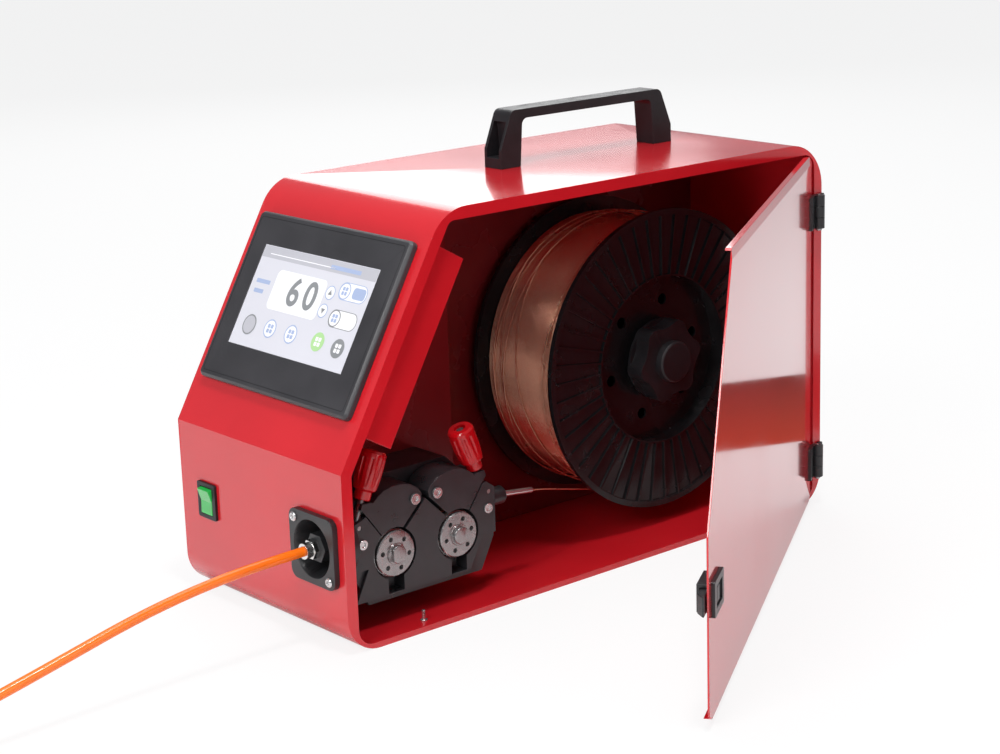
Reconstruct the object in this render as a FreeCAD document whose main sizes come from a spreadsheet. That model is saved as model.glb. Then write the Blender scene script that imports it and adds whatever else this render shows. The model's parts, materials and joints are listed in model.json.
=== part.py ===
import FreeCAD, Part
import Sketcher
import math
import os
import re
from types import SimpleNamespace
from FreeCAD import Placement, Rotation, Vector

# A portable wire feeder: a folded red case with a sloped touch screen, a hinged side door that stands
# open, a twin roll wire drive, and a spool of welding wire on a braked hub.
# +Z is up, the screen end faces -Y and the door side faces +X. The origin is the centre of the base.

os.makedirs("parts", exist_ok=True)
doc = FreeCAD.newDocument("wire_feeder")
sheet = doc.addObject("Spreadsheet::Sheet", "Sizes")

# Driving dimensions in millimetres and degrees
SIZES = [
    ("case_width", 230, "case, across both sides"),
    ("case_length", 545, "case, front to rear"),
    ("case_height", 337.5, "case, base to top sheet"),
    ("front_height", 147.5, "height of the crease where the slope starts"),
    ("slope_run", 109.5, "how far back the slope meets the top"),
    ("bottom_round", 30, "outer radius of the two bottom bends"),
    ("top_round", 40, "outer radius of the two top bends"),
    ("case_sheet", 2, "thickness of the case sheet"),
    ("rim_width", 10, "return flange round each open side"),
    ("rim_drop", 5, "how much narrower the flange is under the door"),
    ("rim_round", 8, "corner radius of the door opening"),
    ("rim_bend", 5, "how much rounder its top rear corner is, to clear the case's bend"),
    ("side_sheet", 1.5, "thickness of the closed side panel"),
    ("screw_head_radius", 4, "pan head of the sheet metal screws"),
    ("screw_head_height", 1.8, "height of that head"),
    ("screw_shank_radius", 2, "shank of the sheet metal screws"),
    ("door_sheet", 1.5, "thickness of the door sheet"),
    ("door_gap", 1, "gap between the door and the rim"),
    ("door_flange", 6, "depth of the door's folded edges"),
    ("door_lip", 7, "height of the lip along the door's top edge"),
    ("door_open_angle", 34, "how far the door stands open"),
    ("hinge_axis_out", 6, "hinge axis outside the door face"),
    ("hinge_axis_back", 0.5, "hinge axis behind the door's rear edge"),
    ("hinge_height", 30, "length of a hinge"),
    ("hinge_low_z", 43, "centre height of the lower hinge"),
    ("hinge_high_z", 276, "centre height of the upper hinge"),
    ("knuckle_radius", 5.4, "hinge knuckle"),
    ("knuckle_share", 10, "height of the middle knuckle"),
    ("knuckle_gap", 0.3, "end play between knuckles"),
    ("hinge_pin_radius", 2, "hinge pin"),
    ("running_gap", 0.05, "radial play of a shaft in its hole"),
    ("free_gap", 0.4, "clearance between pieces that pass each other"),
    ("hinge_leaf", 3, "thickness of a hinge leaf"),
    ("leaf_reach", 18, "how far the door leaf reaches along the door"),
    ("latch_back", 26, "latch centre behind the door's front edge"),
    ("latch_z", 96, "height of the latch centre"),
    ("latch_length", 35, "latch plate, along the door"),
    ("latch_height", 27, "latch plate, up the door"),
    ("latch_plate", 3, "thickness of the latch plate"),
    ("latch_depth", 9.5, "latch body behind the door sheet"),
    ("latch_travel", 7, "slide of the latch bolt"),
    ("bolt_reach", 6, "bolt beyond the door's front edge"),
    ("bolt_height", 15, "bolt, up the door"),
    ("bolt_thickness", 6, "bolt, through the door"),
    ("panel_width", 206, "touch panel across"),
    ("panel_height", 148, "touch panel up the slope"),
    ("panel_low", 41, "lower edge of the panel above the crease"),
    ("panel_proud", 7, "panel frame above the sheet"),
    ("panel_round", 5, "corner radius of the panel frame"),
    ("panel_bevel", 2.5, "bevel round the panel frame"),
    ("screen_width", 156, "visible screen across"),
    ("screen_height", 87, "visible screen up the slope"),
    ("screen_low", 74, "lower edge of the screen above the crease"),
    ("screen_glass", 1.6, "thickness of the touch glass"),
    ("panel_box_width", 190, "panel housing behind the sheet, across"),
    ("panel_box_height", 134, "panel housing up the slope"),
    ("panel_box_depth", 30, "panel housing depth behind the sheet"),
    ("cover_low", 34, "lower edge of the rear cover above the crease"),
    ("cover_length", 160, "rear cover up the slope"),
    ("cover_depth", 44, "rear cover depth below the outer slope"),
    ("cover_side", 7, "rear cover to the case sides"),
    ("cover_sheet", 1.5, "thickness of the rear cover"),
    ("partition_x", 17, "front face of the partition's forward wall"),
    ("partition_rear_x", -48, "face of the partition behind the spool"),
    ("partition_sheet", 2, "thickness of the partition"),
    ("joggle_back", 188, "start of the partition's step behind the case front"),
    ("joggle_run", 22, "length of that step"),
    ("partition_foot", 14, "width of the partition's folded foot"),
    ("rocker_x", -75, "rocker switch across"),
    ("rocker_z", 85, "rocker switch height"),
    ("rocker_width", 26, "switch frame across"),
    ("rocker_height", 31, "switch frame up"),
    ("rocker_proud", 2.5, "switch frame above the sheet"),
    ("rocker_depth", 24, "switch body behind the sheet"),
    ("rocker_tilt", 8, "tilt of the pressed rocker"),
    ("wire_x", 78, "wire line across the case"),
    ("wire_z", 81, "wire line height"),
    ("wire_radius", 0.6, "welding wire"),
    ("dish_size", 58, "socket plate, square"),
    ("dish_round", 8, "corner radius of the socket plate"),
    ("dish_proud", 5, "socket plate above the sheet"),
    ("dish_mouth", 23, "radius of the dish at its mouth"),
    ("dish_floor", 17, "radius of the dish at its floor"),
    ("dish_depth", 26, "depth of the dish below the plate"),
    ("dish_wall", 2.5, "wall of the dish"),
    ("dish_screw_offset", 22, "socket screws from the centre"),
    ("conduit_radius", 4, "orange wire conduit"),
    ("conduit_start", 10, "end of the conduit in its nut, before the case"),
    ("conduit_fitting_length", 30, "fitting on the conduit's free end"),
    ("conduit_thread_radius", 5, "thread of that fitting"),
    ("coil_turns_in_layer", 1.75, "turns in one layer of the put away coil"),
    ("coil_layers", 4, "layers of that coil"),
    ("coil_inner", 39, "smallest turn of the coil, centre line"),
    ("coil_side_step", 10.5, "step from turn to turn"),
    ("coil_layer_step", 8.6, "step from layer to layer"),
    ("handle_length", 202, "carry handle along the case"),
    ("handle_width", 22, "carry handle across"),
    ("handle_height", 49, "carry handle above the top"),
    ("handle_bar", 8, "depth of the grip bar"),
    ("handle_centre_y", 87.8, "handle centre behind the case centre"),
    ("handle_x", -2.5, "handle centre across"),
    ("handle_foot", 22, "length of a handle foot"),
    ("handle_screw_span", 180, "distance between the handle screws"),
    ("handle_screw_radius", 3, "handle screws"),
    ("feeder_back", 102, "feeder centre behind the case front"),
    ("roll_spacing", 65, "between the two drive rolls"),
    ("roll_radius", 20, "drive roll"),
    ("roll_width", 13, "drive roll"),
    ("pocket_gap", 1.4, "roll pocket round a roll"),
    ("feeder_front", 87, "front face of the feeder across the case"),
    ("base_front", 58, "front face of the feeder's mounting block"),
    ("feeder_half", 72.5, "half the feeder's length"),
    ("feeder_bottom", 23, "underside of the feeder"),
    ("feeder_cut_run", 14, "bevel of the lower corners, along"),
    ("feeder_cut_rise", 27, "bevel of the lower corners, up"),
    ("base_top", 119, "top of the mounting block"),
    ("base_shoulder", 93, "height of the feeder's outer shoulders"),
    ("base_top_half", 45, "half the top of the mounting block"),
    ("land_depth", 3, "raised front land of the feeder body"),
    ("land_low", 27.5, "lower edge of that land"),
    ("vee_top", 100, "point of the body between the arms"),
    ("vee_foot", 79, "height where the vee meets the pockets"),
    ("vee_half", 21, "half the vee at that height"),
    ("arm_pivot_side", 11.3, "arm pivots from the feeder centre"),
    ("arm_pivot_z", 102, "height of the arm pivots"),
    ("pivot_radius", 3, "arm pivot bolts"),
    ("arm_front_wall", 3, "wall of an arm before its roller"),
    ("roller_radius", 14.8, "pressure roller"),
    ("roller_width", 10, "pressure roller"),
    ("roller_pin_radius", 3, "pressure roller pin"),
    ("rod_pivot_side", 66.5, "tension rod pivots from the feeder centre"),
    ("rod_pivot_z", 90, "height of the rod pivots"),
    ("rod_x", 80, "tension rods across the case"),
    ("rod_tilt", 21.7, "lean of the rods towards the centre"),
    ("rod_radius", 3, "tension rod"),
    ("rod_eye_radius", 5, "eye of a rod"),
    ("rod_eye_width", 6.4, "eye of a rod, across"),
    ("rod_pin_radius", 2, "pin through that eye"),
    ("seat_distance", 21.8, "fork seat above the rod pivot"),
    ("seat_gap", 0.5, "knob above the fork seat"),
    ("collar_radius", 7, "foot of a tension knob"),
    ("knob_radius", 11, "tension knob"),
    ("knob_length", 40, "tension knob"),
    ("knob_flutes", 10, "grooves round a tension knob"),
    ("cap_radius", 19, "steel cap on a drive roll"),
    ("cap_thickness", 3.4, "that cap"),
    ("cap_hole_radius", 2, "holes in the cap"),
    ("cap_hole_circle", 13.4, "radius of the ring of holes"),
    ("shaft_end_radius", 7.4, "shaft end through the cap"),
    ("shaft_end_length", 4.5, "shaft end before the cap"),
    ("gear_module", 1.25, "pitch diameter for each tooth"),
    ("gear_teeth", 36, "drive gears"),
    ("pinion_teeth", 16, "motor pinion"),
    ("gear_width", 7, "gears"),
    ("gear_backlash", 0.5, "play between teeth"),
    ("shaft_radius", 5, "roll shafts"),
    ("motor_shaft_radius", 4, "motor shaft"),
    ("motor_radius", 30, "drive motor"),
    ("motor_length", 74, "drive motor"),
    ("gearbox_length", 28, "gearbox of the motor"),
    ("gearbox_radius", 32, "gearbox of the motor"),
    ("inlet_nut_radius", 7.6, "inlet nut"),
    ("inlet_nut_length", 15, "inlet nut"),
    ("inlet_tube_radius", 2.4, "inlet tube"),
    ("inlet_tube_length", 34, "inlet tube past its nut"),
    ("inlet_droop", 7, "downward lean of the inlet tube"),
    ("guide_radius", 2.2, "guide tubes between the rolls"),
    ("guide_stop", 11, "guide tubes before and after a roll's centre"),
    ("spool_radius", 135, "spool flanges"),
    ("spool_back", 149.8, "spool axis before the case rear"),
    ("spool_z", 155.7, "spool axis height"),
    ("spool_front_x", 64, "outer face of the near flange"),
    ("spool_width", 103, "spool over both flanges"),
    ("spool_rim", 4.6, "thickness of the flange rims"),
    ("spool_rim_depth", 5, "radial depth of the rims"),
    ("spool_web", 2, "flange web"),
    ("spool_recess", 75, "radius of the hub recess"),
    ("spool_recess_depth", 16, "depth of the hub recess"),
    ("spool_bore", 26, "radius of the spool bore"),
    ("sleeve_back", 10, "end of the spool's sleeve behind its near flange"),
    ("spool_ribs", 48, "radial ribs on a flange"),
    ("spool_rib", 1.8, "thickness of a rib"),
    ("spool_wall", 3, "walls of the spool's barrel"),
    ("winding_radius", 122, "outside of the wound wire"),
    ("winding_turns", 18, "turns drawn in the outer layer"),
    ("winding_strand", 4.2, "thickness of a drawn turn"),
    ("hub_flange", 44, "radius of the hub's flange"),
    ("hub_flange_thickness", 4, "the hub's flange"),
    ("hub_stub", 8, "threaded stub for the star knob"),
    ("star_radius", 37, "star knob over its lobes"),
    ("star_waist", 31, "star knob between its lobes"),
    ("star_lobes", 6, "lobes of the star knob"),
    ("star_phase", 20, "turn of the star knob as it stands"),
    ("star_thickness", 18, "star knob's disc"),
    ("star_cap_radius", 18.5, "cap of the star knob"),
    ("star_front_x", 80, "face of that cap"),
    ("rear_socket_x", -66, "control socket across the rear wall"),
    ("rear_socket_z", 70, "control socket height"),
    ("rear_socket_bore", 9, "radius of the control socket's mouth"),
    ("rear_socket_depth", 12, "depth of that mouth"),
    ("rear_socket_flange", 32, "square flange of that socket"),
]
NAMES = {row[0] for row in SIZES}
for line, (alias, value, meaning) in enumerate(SIZES, start=1):
    sheet.set(f"A{line}", str(value))
    sheet.setAlias(f"A{line}", alias)
    sheet.set(f"B{line}", meaning)
doc.recompute()
size = SimpleNamespace(**{alias: float(sheet.get(alias)) for alias in NAMES})

WORD = re.compile(r"[a-z][a-z_0-9]*")
NODES = {}


def formula(text):
    """A formula of sheet names in the form that the document reads."""
    return WORD.sub(lambda word: f"Sizes.{word[0]}" if word[0] in NAMES else word[0], str(text))


def bind(obj, **properties):
    """Tie an object's properties to formulas of the sheet."""
    for name, text in properties.items():
        obj.setExpression(name.replace("__", "."), formula(text))


def put(obj, x=0, y=0, z=0, axis=None, angle=None):
    """Place an object at x, y, z, turned about an axis by an angle."""
    if axis is not None:
        obj.Placement = Placement(Vector(), Rotation(Vector(*axis), 1.0))
        bind(obj, Placement__Rotation__Angle=angle)
    bind(obj, Placement__Base__x=x, Placement__Base__y=y, Placement__Base__z=z)
    return obj


def box(x, y, z):
    """A box between two formulas along each axis."""
    obj = doc.addObject("Part::Box", "block")
    bind(obj, Length=f"{x[1]} - ({x[0]})", Width=f"{y[1]} - ({y[0]})", Height=f"{z[1]} - ({z[0]})")
    return put(obj, x[0], y[0], z[0])


TURN = {"X": ((0, 1, 0), 90), "Y": ((1, 0, 0), -90), "Z": ((0, 0, 1), 0)}


def rod(axis, at, radius, length):
    """A cylinder that starts at a point and runs along +X, +Y or +Z."""
    obj = doc.addObject("Part::Cylinder", "rod")
    bind(obj, Radius=radius, Height=length)
    return put(obj, *at, *TURN[axis])


def prism(axis, at, radius, length, sides):
    """A regular prism that starts at a point and runs along +X, +Y or +Z."""
    obj = doc.addObject("Part::Prism", "prism")
    obj.Polygon = sides
    bind(obj, Circumradius=radius, Height=length)
    return put(obj, *at, *TURN[axis])


def drawn(body, plane, points, offset):
    """A closed sketch of straight lines whose corners follow formulas."""
    sketch = body.newObject("Sketcher::SketchObject", "outline")
    support = [item for item in body.Origin.OriginFeatures if item.Role == plane + "_Plane"][0]
    sketch.AttachmentSupport = (support, [""])
    sketch.MapMode = "FlatFace"
    sketch.setExpression("AttachmentOffset.Base.z", formula(offset))
    count = len(points)
    start = [Vector(50 * math.cos(2 * math.pi * i / count), 50 * math.sin(2 * math.pi * i / count), 0)
             for i in range(count)]
    sketch.addGeometry([Part.LineSegment(start[i], start[(i + 1) % count]) for i in range(count)])
    for i in range(count):
        sketch.addConstraint(Sketcher.Constraint("Coincident", i, 2, (i + 1) % count, 1))
    for i, (across, up) in enumerate(points):
        for kind, text in (("DistanceX", across), ("DistanceY", up)):
            index = sketch.addConstraint(Sketcher.Constraint(kind, -1, 1, i, 1, start[i].x))
            sketch.setExpression(f"Constraints[{index}]", formula(text))
    return sketch


def corner_edges(shape, corner, normal):
    """Names of the edges that run along the normal through a corner."""
    found = []
    for index, edge in enumerate(shape.Edges, start=1):
        ends = [vertex.Point - corner for vertex in edge.Vertexes]
        if len(ends) == 2 and all((end - normal * end.dot(normal)).Length < 0.001 for end in ends):
            found.append(f"Edge{index}")
    return found


def plate(plane, points, low, depth, rounds=None):
    """A flat outline given a depth, with some of its corners rounded."""
    body = doc.addObject("PartDesign::Body", "plate")
    offset = f"-({low} + {depth})" if plane == "XZ" else low
    sketch = drawn(body, plane, points, offset)
    pad = body.newObject("PartDesign::Pad", "pad")
    pad.Profile = sketch
    bind(pad, Length=depth)
    doc.recompute()
    normal = sketch.Placement.Rotation.multVec(Vector(0, 0, 1))
    corners = [sketch.Placement.multVec(line.StartPoint) for line in sketch.Geometry]
    for radius in dict.fromkeys((rounds or {}).values()):
        chosen = [corners[i] for i, text in rounds.items() if text == radius]
        tip = body.Tip
        names = [name for corner in chosen for name in corner_edges(tip.Shape, corner, normal)]
        fillet = body.newObject("PartDesign::Fillet", "bend")
        fillet.Base = (tip, names)
        bind(fillet, Radius=radius)
        doc.recompute()
    return body


def turned(axis, at, points):
    """A profile of distances along and from an axis, turned right round it."""
    body = doc.addObject("PartDesign::Body", "turned")
    sketch = drawn(body, "XY", points, 0)
    spin = body.newObject("PartDesign::Revolution", "spin")
    spin.Profile = sketch
    spin.ReferenceAxis = (sketch, ["H_Axis"])
    spin.Angle = 360
    way = {"X": ((0, 0, 1), 0), "Y": ((0, 0, 1), 90), "Z": ((0, 1, 0), -90)}[axis]
    return put(body, *at, *way)


def joined(*items):
    """Pieces made one solid."""
    obj = doc.addObject("Part::MultiFuse", "joined")
    obj.Shapes = list(items)
    return obj


def cut(base, *tools):
    """A piece with others taken out of it."""
    obj = doc.addObject("Part::Cut", "cut")
    obj.Base = base
    obj.Tool = tools[0] if len(tools) == 1 else joined(*tools)
    return obj


def shared(base, tool):
    """What two pieces have in common."""
    obj = doc.addObject("Part::Common", "shared")
    obj.Base = base
    obj.Tool = tool
    return obj


def group(*items):
    """Like pieces kept as separate solids of one node."""
    obj = doc.addObject("Part::Compound", "group")
    obj.Links = list(items)
    return obj


def solid(shape):
    """A shape worked out by a rule, as an object of the document."""
    obj = doc.addObject("Part::Feature", "shaped")
    obj.Shape = shape
    return obj


def mirrored(source):
    """The same piece on the other side of the feeder's centre."""
    obj = doc.addObject("Part::Mirroring", "mirrored")
    obj.Source = source
    obj.Normal = Vector(0, 1, 0)
    bind(obj, Base__y=FEEDER_Y)
    return obj


def node(label, obj):
    """Name a finished piece."""
    obj.Label = label
    NODES[label] = obj
    return obj


# Places that several pieces share, as formulas
FRONT = "(-case_length / 2)"
REAR = "(case_length / 2)"
RIGHT = "(case_width / 2)"
LEFT = "(-case_width / 2)"
RISE = "(case_height - front_height)"
SLOPE = f"sqrt(slope_run ^ 2 + {RISE} ^ 2)"
FEEDER_Y = f"({FRONT} + feeder_back)"
ROLL_Z = "(wire_z - roll_radius)"
SPOOL_Y = f"({REAR} - spool_back)"
HINGE_X = f"({RIGHT} + hinge_axis_out)"
DOOR_INSET = "(rim_width + door_gap)"
HINGE_Y = f"({REAR} - {DOOR_INSET} + hinge_axis_back)"


def case_outline(inset):
    """The five sided case profile, moved inwards by a distance."""
    return [
        (f"{FRONT} + {inset}", inset),
        (f"{REAR} - {inset}", inset),
        (f"{REAR} - {inset}", f"case_height - {inset}"),
        (f"{FRONT} + slope_run + {inset} * ({SLOPE} - slope_run) / {RISE}", f"case_height - {inset}"),
        (f"{FRONT} + {inset}", f"front_height - {inset} * ({SLOPE} - {RISE}) / slope_run"),
    ]


def case_block(inset, low, depth):
    """The case profile with its bends, between two planes across the case."""
    low_bend = f"bottom_round - {inset}"
    high_bend = f"top_round - {inset}"
    rounds = {0: low_bend, 1: low_bend, 2: high_bend, 3: high_bend}
    return plate("YZ", case_outline(inset), low, depth, rounds)


def opening_block(inset, low, depth, radius):
    """A plate of the case profile with small even corners."""
    return plate("YZ", case_outline(inset), low, depth, {i: radius for i in range(5)})


def door_block(inset, low, depth, radius, beyond="0"):
    """A plate of the door's profile, closer to the floor, and moved forward at the front edges."""
    points = [(along, up) for along, up in case_outline(inset)]
    rounds = {i: radius for i in range(5)}
    rounds[2] = f"{radius} + rim_bend"
    for i in (0, 1):
        points[i] = (points[i][0], f"{inset} - rim_drop")
        rounds[i] = f"{radius} + rim_drop + 1"
    for i in (0, 3, 4):
        points[i] = (f"{points[i][0]} - {beyond}", points[i][1])
    return plate("YZ", points, low, depth, rounds)


def on_slope(obj):
    """Move a piece drawn flat, x across and y up the slope, onto the sloped front."""
    return put(obj, 0, FRONT, "front_height", (1, 0, 0), f"atan({RISE} / slope_run)")


def swung(obj):
    """Turn a door piece, drawn closed, to where the door stands open."""
    turn_x = f"{HINGE_X} * (1 - cos(door_open_angle)) + {HINGE_Y} * sin(door_open_angle)"
    turn_y = f"{HINGE_Y} * (1 - cos(door_open_angle)) - {HINGE_X} * sin(door_open_angle)"
    return put(obj, turn_x, turn_y, 0, (0, 0, 1), "door_open_angle")


def on_rod(obj):
    """Lean a piece drawn on an upright rod, whose pivot is at the origin, to the rear rod's place."""
    return put(obj, "rod_x", f"{FEEDER_Y} + rod_pivot_side", "rod_pivot_z", (1, 0, 0), "rod_tilt")


# Case: one folded wrap with a return flange round the door side and the closed side
wrap_low = f"{LEFT} + side_sheet"
wrap = cut(
    case_block("0", wrap_low, "case_width - side_sheet"),
    case_block("case_sheet", f"{wrap_low} + case_sheet", "case_width - side_sheet - 2 * case_sheet"),
    door_block("rim_width", f"{RIGHT} - case_sheet - 1", "case_sheet + 2", "rim_round"),
    opening_block("rim_width", f"{wrap_low} - 1", "case_sheet + 2", "rim_round"),
)
panel_hole = on_slope(plate("XY", [
    ("-panel_box_width / 2 - free_gap", "panel_low + (panel_height - panel_box_height) / 2 - free_gap"),
    ("panel_box_width / 2 + free_gap", "panel_low + (panel_height - panel_box_height) / 2 - free_gap"),
    ("panel_box_width / 2 + free_gap", "panel_low + (panel_height + panel_box_height) / 2 + free_gap"),
    ("-panel_box_width / 2 - free_gap", "panel_low + (panel_height + panel_box_height) / 2 + free_gap"),
], "-case_sheet - 2", "case_sheet + 4"))
switch_hole = box(
    ("rocker_x - rocker_width / 2 + 2 - free_gap", "rocker_x + rocker_width / 2 - 2 + free_gap"),
    (f"{FRONT} - 1", f"{FRONT} + case_sheet + 1"),
    ("rocker_z - rocker_height / 2 + 2 - free_gap", "rocker_z + rocker_height / 2 - 2 + free_gap"),
)
dish_hole = rod("Y", ("wire_x", f"{FRONT} - 1", "wire_z"), "dish_mouth + dish_wall + free_gap", "case_sheet + 2")
handle_holes = [
    rod("Z", ("handle_x", f"handle_centre_y + {side} * handle_screw_span / 2", "case_height - case_sheet - 1"),
        "handle_screw_radius + 0.3", "case_sheet + 2")
    for side in (-1, 1)
]
SOCKET_BARREL = "rear_socket_bore + 3"
rear_hole = rod("Y", ("rear_socket_x", f"{REAR} - case_sheet - 1", "rear_socket_z"),
                f"{SOCKET_BARREL} + free_gap", "case_sheet + 2")
MID_FLANGE = "rim_width / 2"
side_points = [
    (f"{FRONT} + slope_run + 30", f"case_height - {MID_FLANGE}"), ("60", f"case_height - {MID_FLANGE}"),
    (f"{REAR} - 60", f"case_height - {MID_FLANGE}"), (f"{REAR} - {MID_FLANGE}", "case_height / 2"),
    (f"{REAR} - 60", MID_FLANGE), ("0", MID_FLANGE), (f"{FRONT} + 60", MID_FLANGE),
    (f"{FRONT} + {MID_FLANGE}", "front_height - 40"),
]
side_holes = [
    rod("X", (f"{LEFT} - 1", y, z), "screw_shank_radius + running_gap", "side_sheet + case_sheet + 2")
    for y, z in side_points
]
node("case_wrap", cut(wrap, panel_hole, switch_hole, dish_hole, *handle_holes, rear_hole, *side_holes))

# Closed side: a flat panel screwed to the wrap's flange
panel_holes = [
    rod("X", (f"{LEFT} - 1", y, z), "screw_shank_radius + running_gap", "side_sheet + 2") for y, z in side_points
]
node("side_panel", cut(case_block("0", LEFT, "side_sheet"), *panel_holes))
node("case_screws", group(*[
    turned("X", (f"{LEFT} - screw_head_height", y, z), [
        ("0", "0"), ("0", "screw_head_radius - 1"), ("1", "screw_head_radius"),
        ("screw_head_height", "screw_head_radius"), ("screw_head_height", "screw_shank_radius"),
        ("screw_head_height + side_sheet + case_sheet + 3", "screw_shank_radius"),
        ("screw_head_height + side_sheet + case_sheet + 3", "0"),
    ]) for y, z in side_points
]))

# Touch panel: bevelled frame, glass, housing through the slope and the red cover behind it
PANEL_HIGH = "(panel_low + panel_height)"
panel = plate("XY", [
    ("-panel_width / 2", "panel_low"), ("panel_width / 2", "panel_low"),
    ("panel_width / 2", PANEL_HIGH), ("-panel_width / 2", PANEL_HIGH),
], "0", "panel_proud", {i: "panel_round" for i in range(4)})
panel_block = panel.Tip
top_edges = [
    f"Edge{i}" for i, edge in enumerate(panel_block.Shape.Edges, start=1)
    if all(abs(vertex.Point.z - size.panel_proud) < 0.001 for vertex in edge.Vertexes)
]
bevel = panel.newObject("PartDesign::Chamfer", "bevel")
bevel.Base = (panel_block, top_edges)
bind(bevel, Size="panel_bevel")
doc.recompute()
SCREEN_HIGH = "(screen_low + screen_height)"
glass_seat = box(
    ("-screen_width / 2 - 0.2", "screen_width / 2 + 0.2"),
    ("screen_low - 0.2", f"{SCREEN_HIGH} + 0.2"),
    ("panel_proud - screen_glass", "panel_proud + 1"),
)
node("touch_bezel", on_slope(cut(panel, glass_seat)))
node("touch_screen", on_slope(plate("XY", [
    ("-screen_width / 2", "screen_low"), ("screen_width / 2", "screen_low"),
    ("screen_width / 2", SCREEN_HIGH), ("-screen_width / 2", SCREEN_HIGH),
], "panel_proud - screen_glass", "screen_glass - 0.3")))
BOX_LOW = "(panel_low + (panel_height - panel_box_height) / 2)"
node("touch_housing", on_slope(plate("XY", [
    ("-panel_box_width / 2", BOX_LOW), ("panel_box_width / 2", BOX_LOW),
    ("panel_box_width / 2", f"{BOX_LOW} + panel_box_height"),
    ("-panel_box_width / 2", f"{BOX_LOW} + panel_box_height"),
], "-panel_box_depth", "panel_box_depth")))


def cover_block(inset):
    """The rear cover's envelope on the slope, moved inwards, open towards the slope."""
    side = f"({LEFT} + side_sheet + cover_side + {inset})"
    high = f"(cover_low + cover_length - {inset})"
    points = [(side, f"cover_low + {inset}"), (f"-{side}", f"cover_low + {inset}"), (f"-{side}", high), (side, high)]
    return on_slope(plate("XY", points, f"-cover_depth + {inset}", f"cover_depth - case_sheet - 0.2 - {inset}"))


node("screen_cover", cut(cover_block("0"), cover_block("cover_sheet"), on_slope(plate("XY", [
    (f"{LEFT} + 12", "cover_low + 4"), (f"{RIGHT} - 12", "cover_low + 4"),
    (f"{RIGHT} - 12", "cover_low + cover_length - 4"), (f"{LEFT} + 12", "cover_low + cover_length - 4"),
], "-case_sheet - 2", "3"))))

# Partition: one sheet from front to rear, stepped back behind the spool, with folded feet
JOGGLE = f"({FRONT} + joggle_back)"
WALL_START = f"({FRONT} + case_sheet + free_gap)"
WALL_END = f"({REAR} - case_sheet - free_gap)"


def wall_strip(width, low, depth):
    """The stepped wall seen from above, given a width towards the closed side."""
    return plate("XY", [
        ("partition_x", WALL_START), ("partition_x", JOGGLE),
        ("partition_rear_x", f"{JOGGLE} + joggle_run"), ("partition_rear_x", WALL_END),
        (f"partition_rear_x - {width}", WALL_END),
        (f"partition_rear_x - {width}", f"{JOGGLE} + joggle_run - {width} / 3"),
        (f"partition_x - {width}", f"{JOGGLE} - {width} / 3"), (f"partition_x - {width}", WALL_START),
    ], low, depth)


inside = case_block("(case_sheet + free_gap)", "partition_rear_x - 50", "partition_x - partition_rear_x + 60")
wall = joined(
    wall_strip("partition_sheet", "case_sheet + free_gap", "case_height - 2 * case_sheet - 2 * free_gap"),
    wall_strip("partition_foot", "case_sheet + free_gap", "partition_sheet"),
    wall_strip("partition_foot", "case_height - case_sheet - free_gap - partition_sheet", "partition_sheet"),
)
node("partition", cut(
    shared(wall, inside),
    on_slope(plate("XY", [
        (f"{LEFT}", "cover_low - 1"), (f"{RIGHT}", "cover_low - 1"),
        (f"{RIGHT}", "cover_low + cover_length + 1"), (f"{LEFT}", "cover_low + cover_length + 1"),
    ], "-cover_depth - 1", "cover_depth + 10")),
    rod("X", ("partition_x - partition_sheet - 1", FEEDER_Y, ROLL_Z), "motor_shaft_radius + 8", "partition_sheet + 2"),
))

# Rocker switch: frame through the front sheet and a lit rocker that tips
ROCKER_LOW = "(rocker_z - rocker_height / 2)"
ROCKER_LEFT = "(rocker_x - rocker_width / 2)"
rocker_plate = plate("XZ", [
    (ROCKER_LEFT, ROCKER_LOW), (f"{ROCKER_LEFT} + rocker_width", ROCKER_LOW),
    (f"{ROCKER_LEFT} + rocker_width", f"{ROCKER_LOW} + rocker_height"), (ROCKER_LEFT, f"{ROCKER_LOW} + rocker_height"),
], f"{FRONT} - rocker_proud", "rocker_proud", {i: "2" for i in range(4)})
rocker_body = box(
    (f"{ROCKER_LEFT} + 2", f"{ROCKER_LEFT} + rocker_width - 2"), (FRONT, f"{FRONT} + rocker_depth"),
    (f"{ROCKER_LOW} + 2", f"{ROCKER_LOW} + rocker_height - 2"),
)
rocker_well = box(
    (f"{ROCKER_LEFT} + 4.5", f"{ROCKER_LEFT} + rocker_width - 4.5"), (f"{FRONT} - rocker_proud - 1", f"{FRONT} + 11"),
    (f"{ROCKER_LOW} + 3.5", f"{ROCKER_LOW} + rocker_height - 3.5"),
)
node("rocker_frame", cut(joined(rocker_plate, rocker_body), rocker_well))
KEY_HALF = "(rocker_height / 2 - 3.5 - free_gap)"
key = plate("YZ", [
    ("-4.5", f"-({KEY_HALF} - 0.6)"), ("0", f"-({KEY_HALF} - 0.4)"), ("5", "-3"), ("5", "3"),
    ("0", f"{KEY_HALF} - 0.4"), ("-4.5", f"{KEY_HALF} - 0.6"), ("-2.6", "0"),
], "-(rocker_width / 2 - 4.5 - free_gap)", "rocker_width - 9 - 2 * free_gap")
node("rocker_key", put(key, "rocker_x", FRONT, "rocker_z", (1, 0, 0), "rocker_tilt"))

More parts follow.
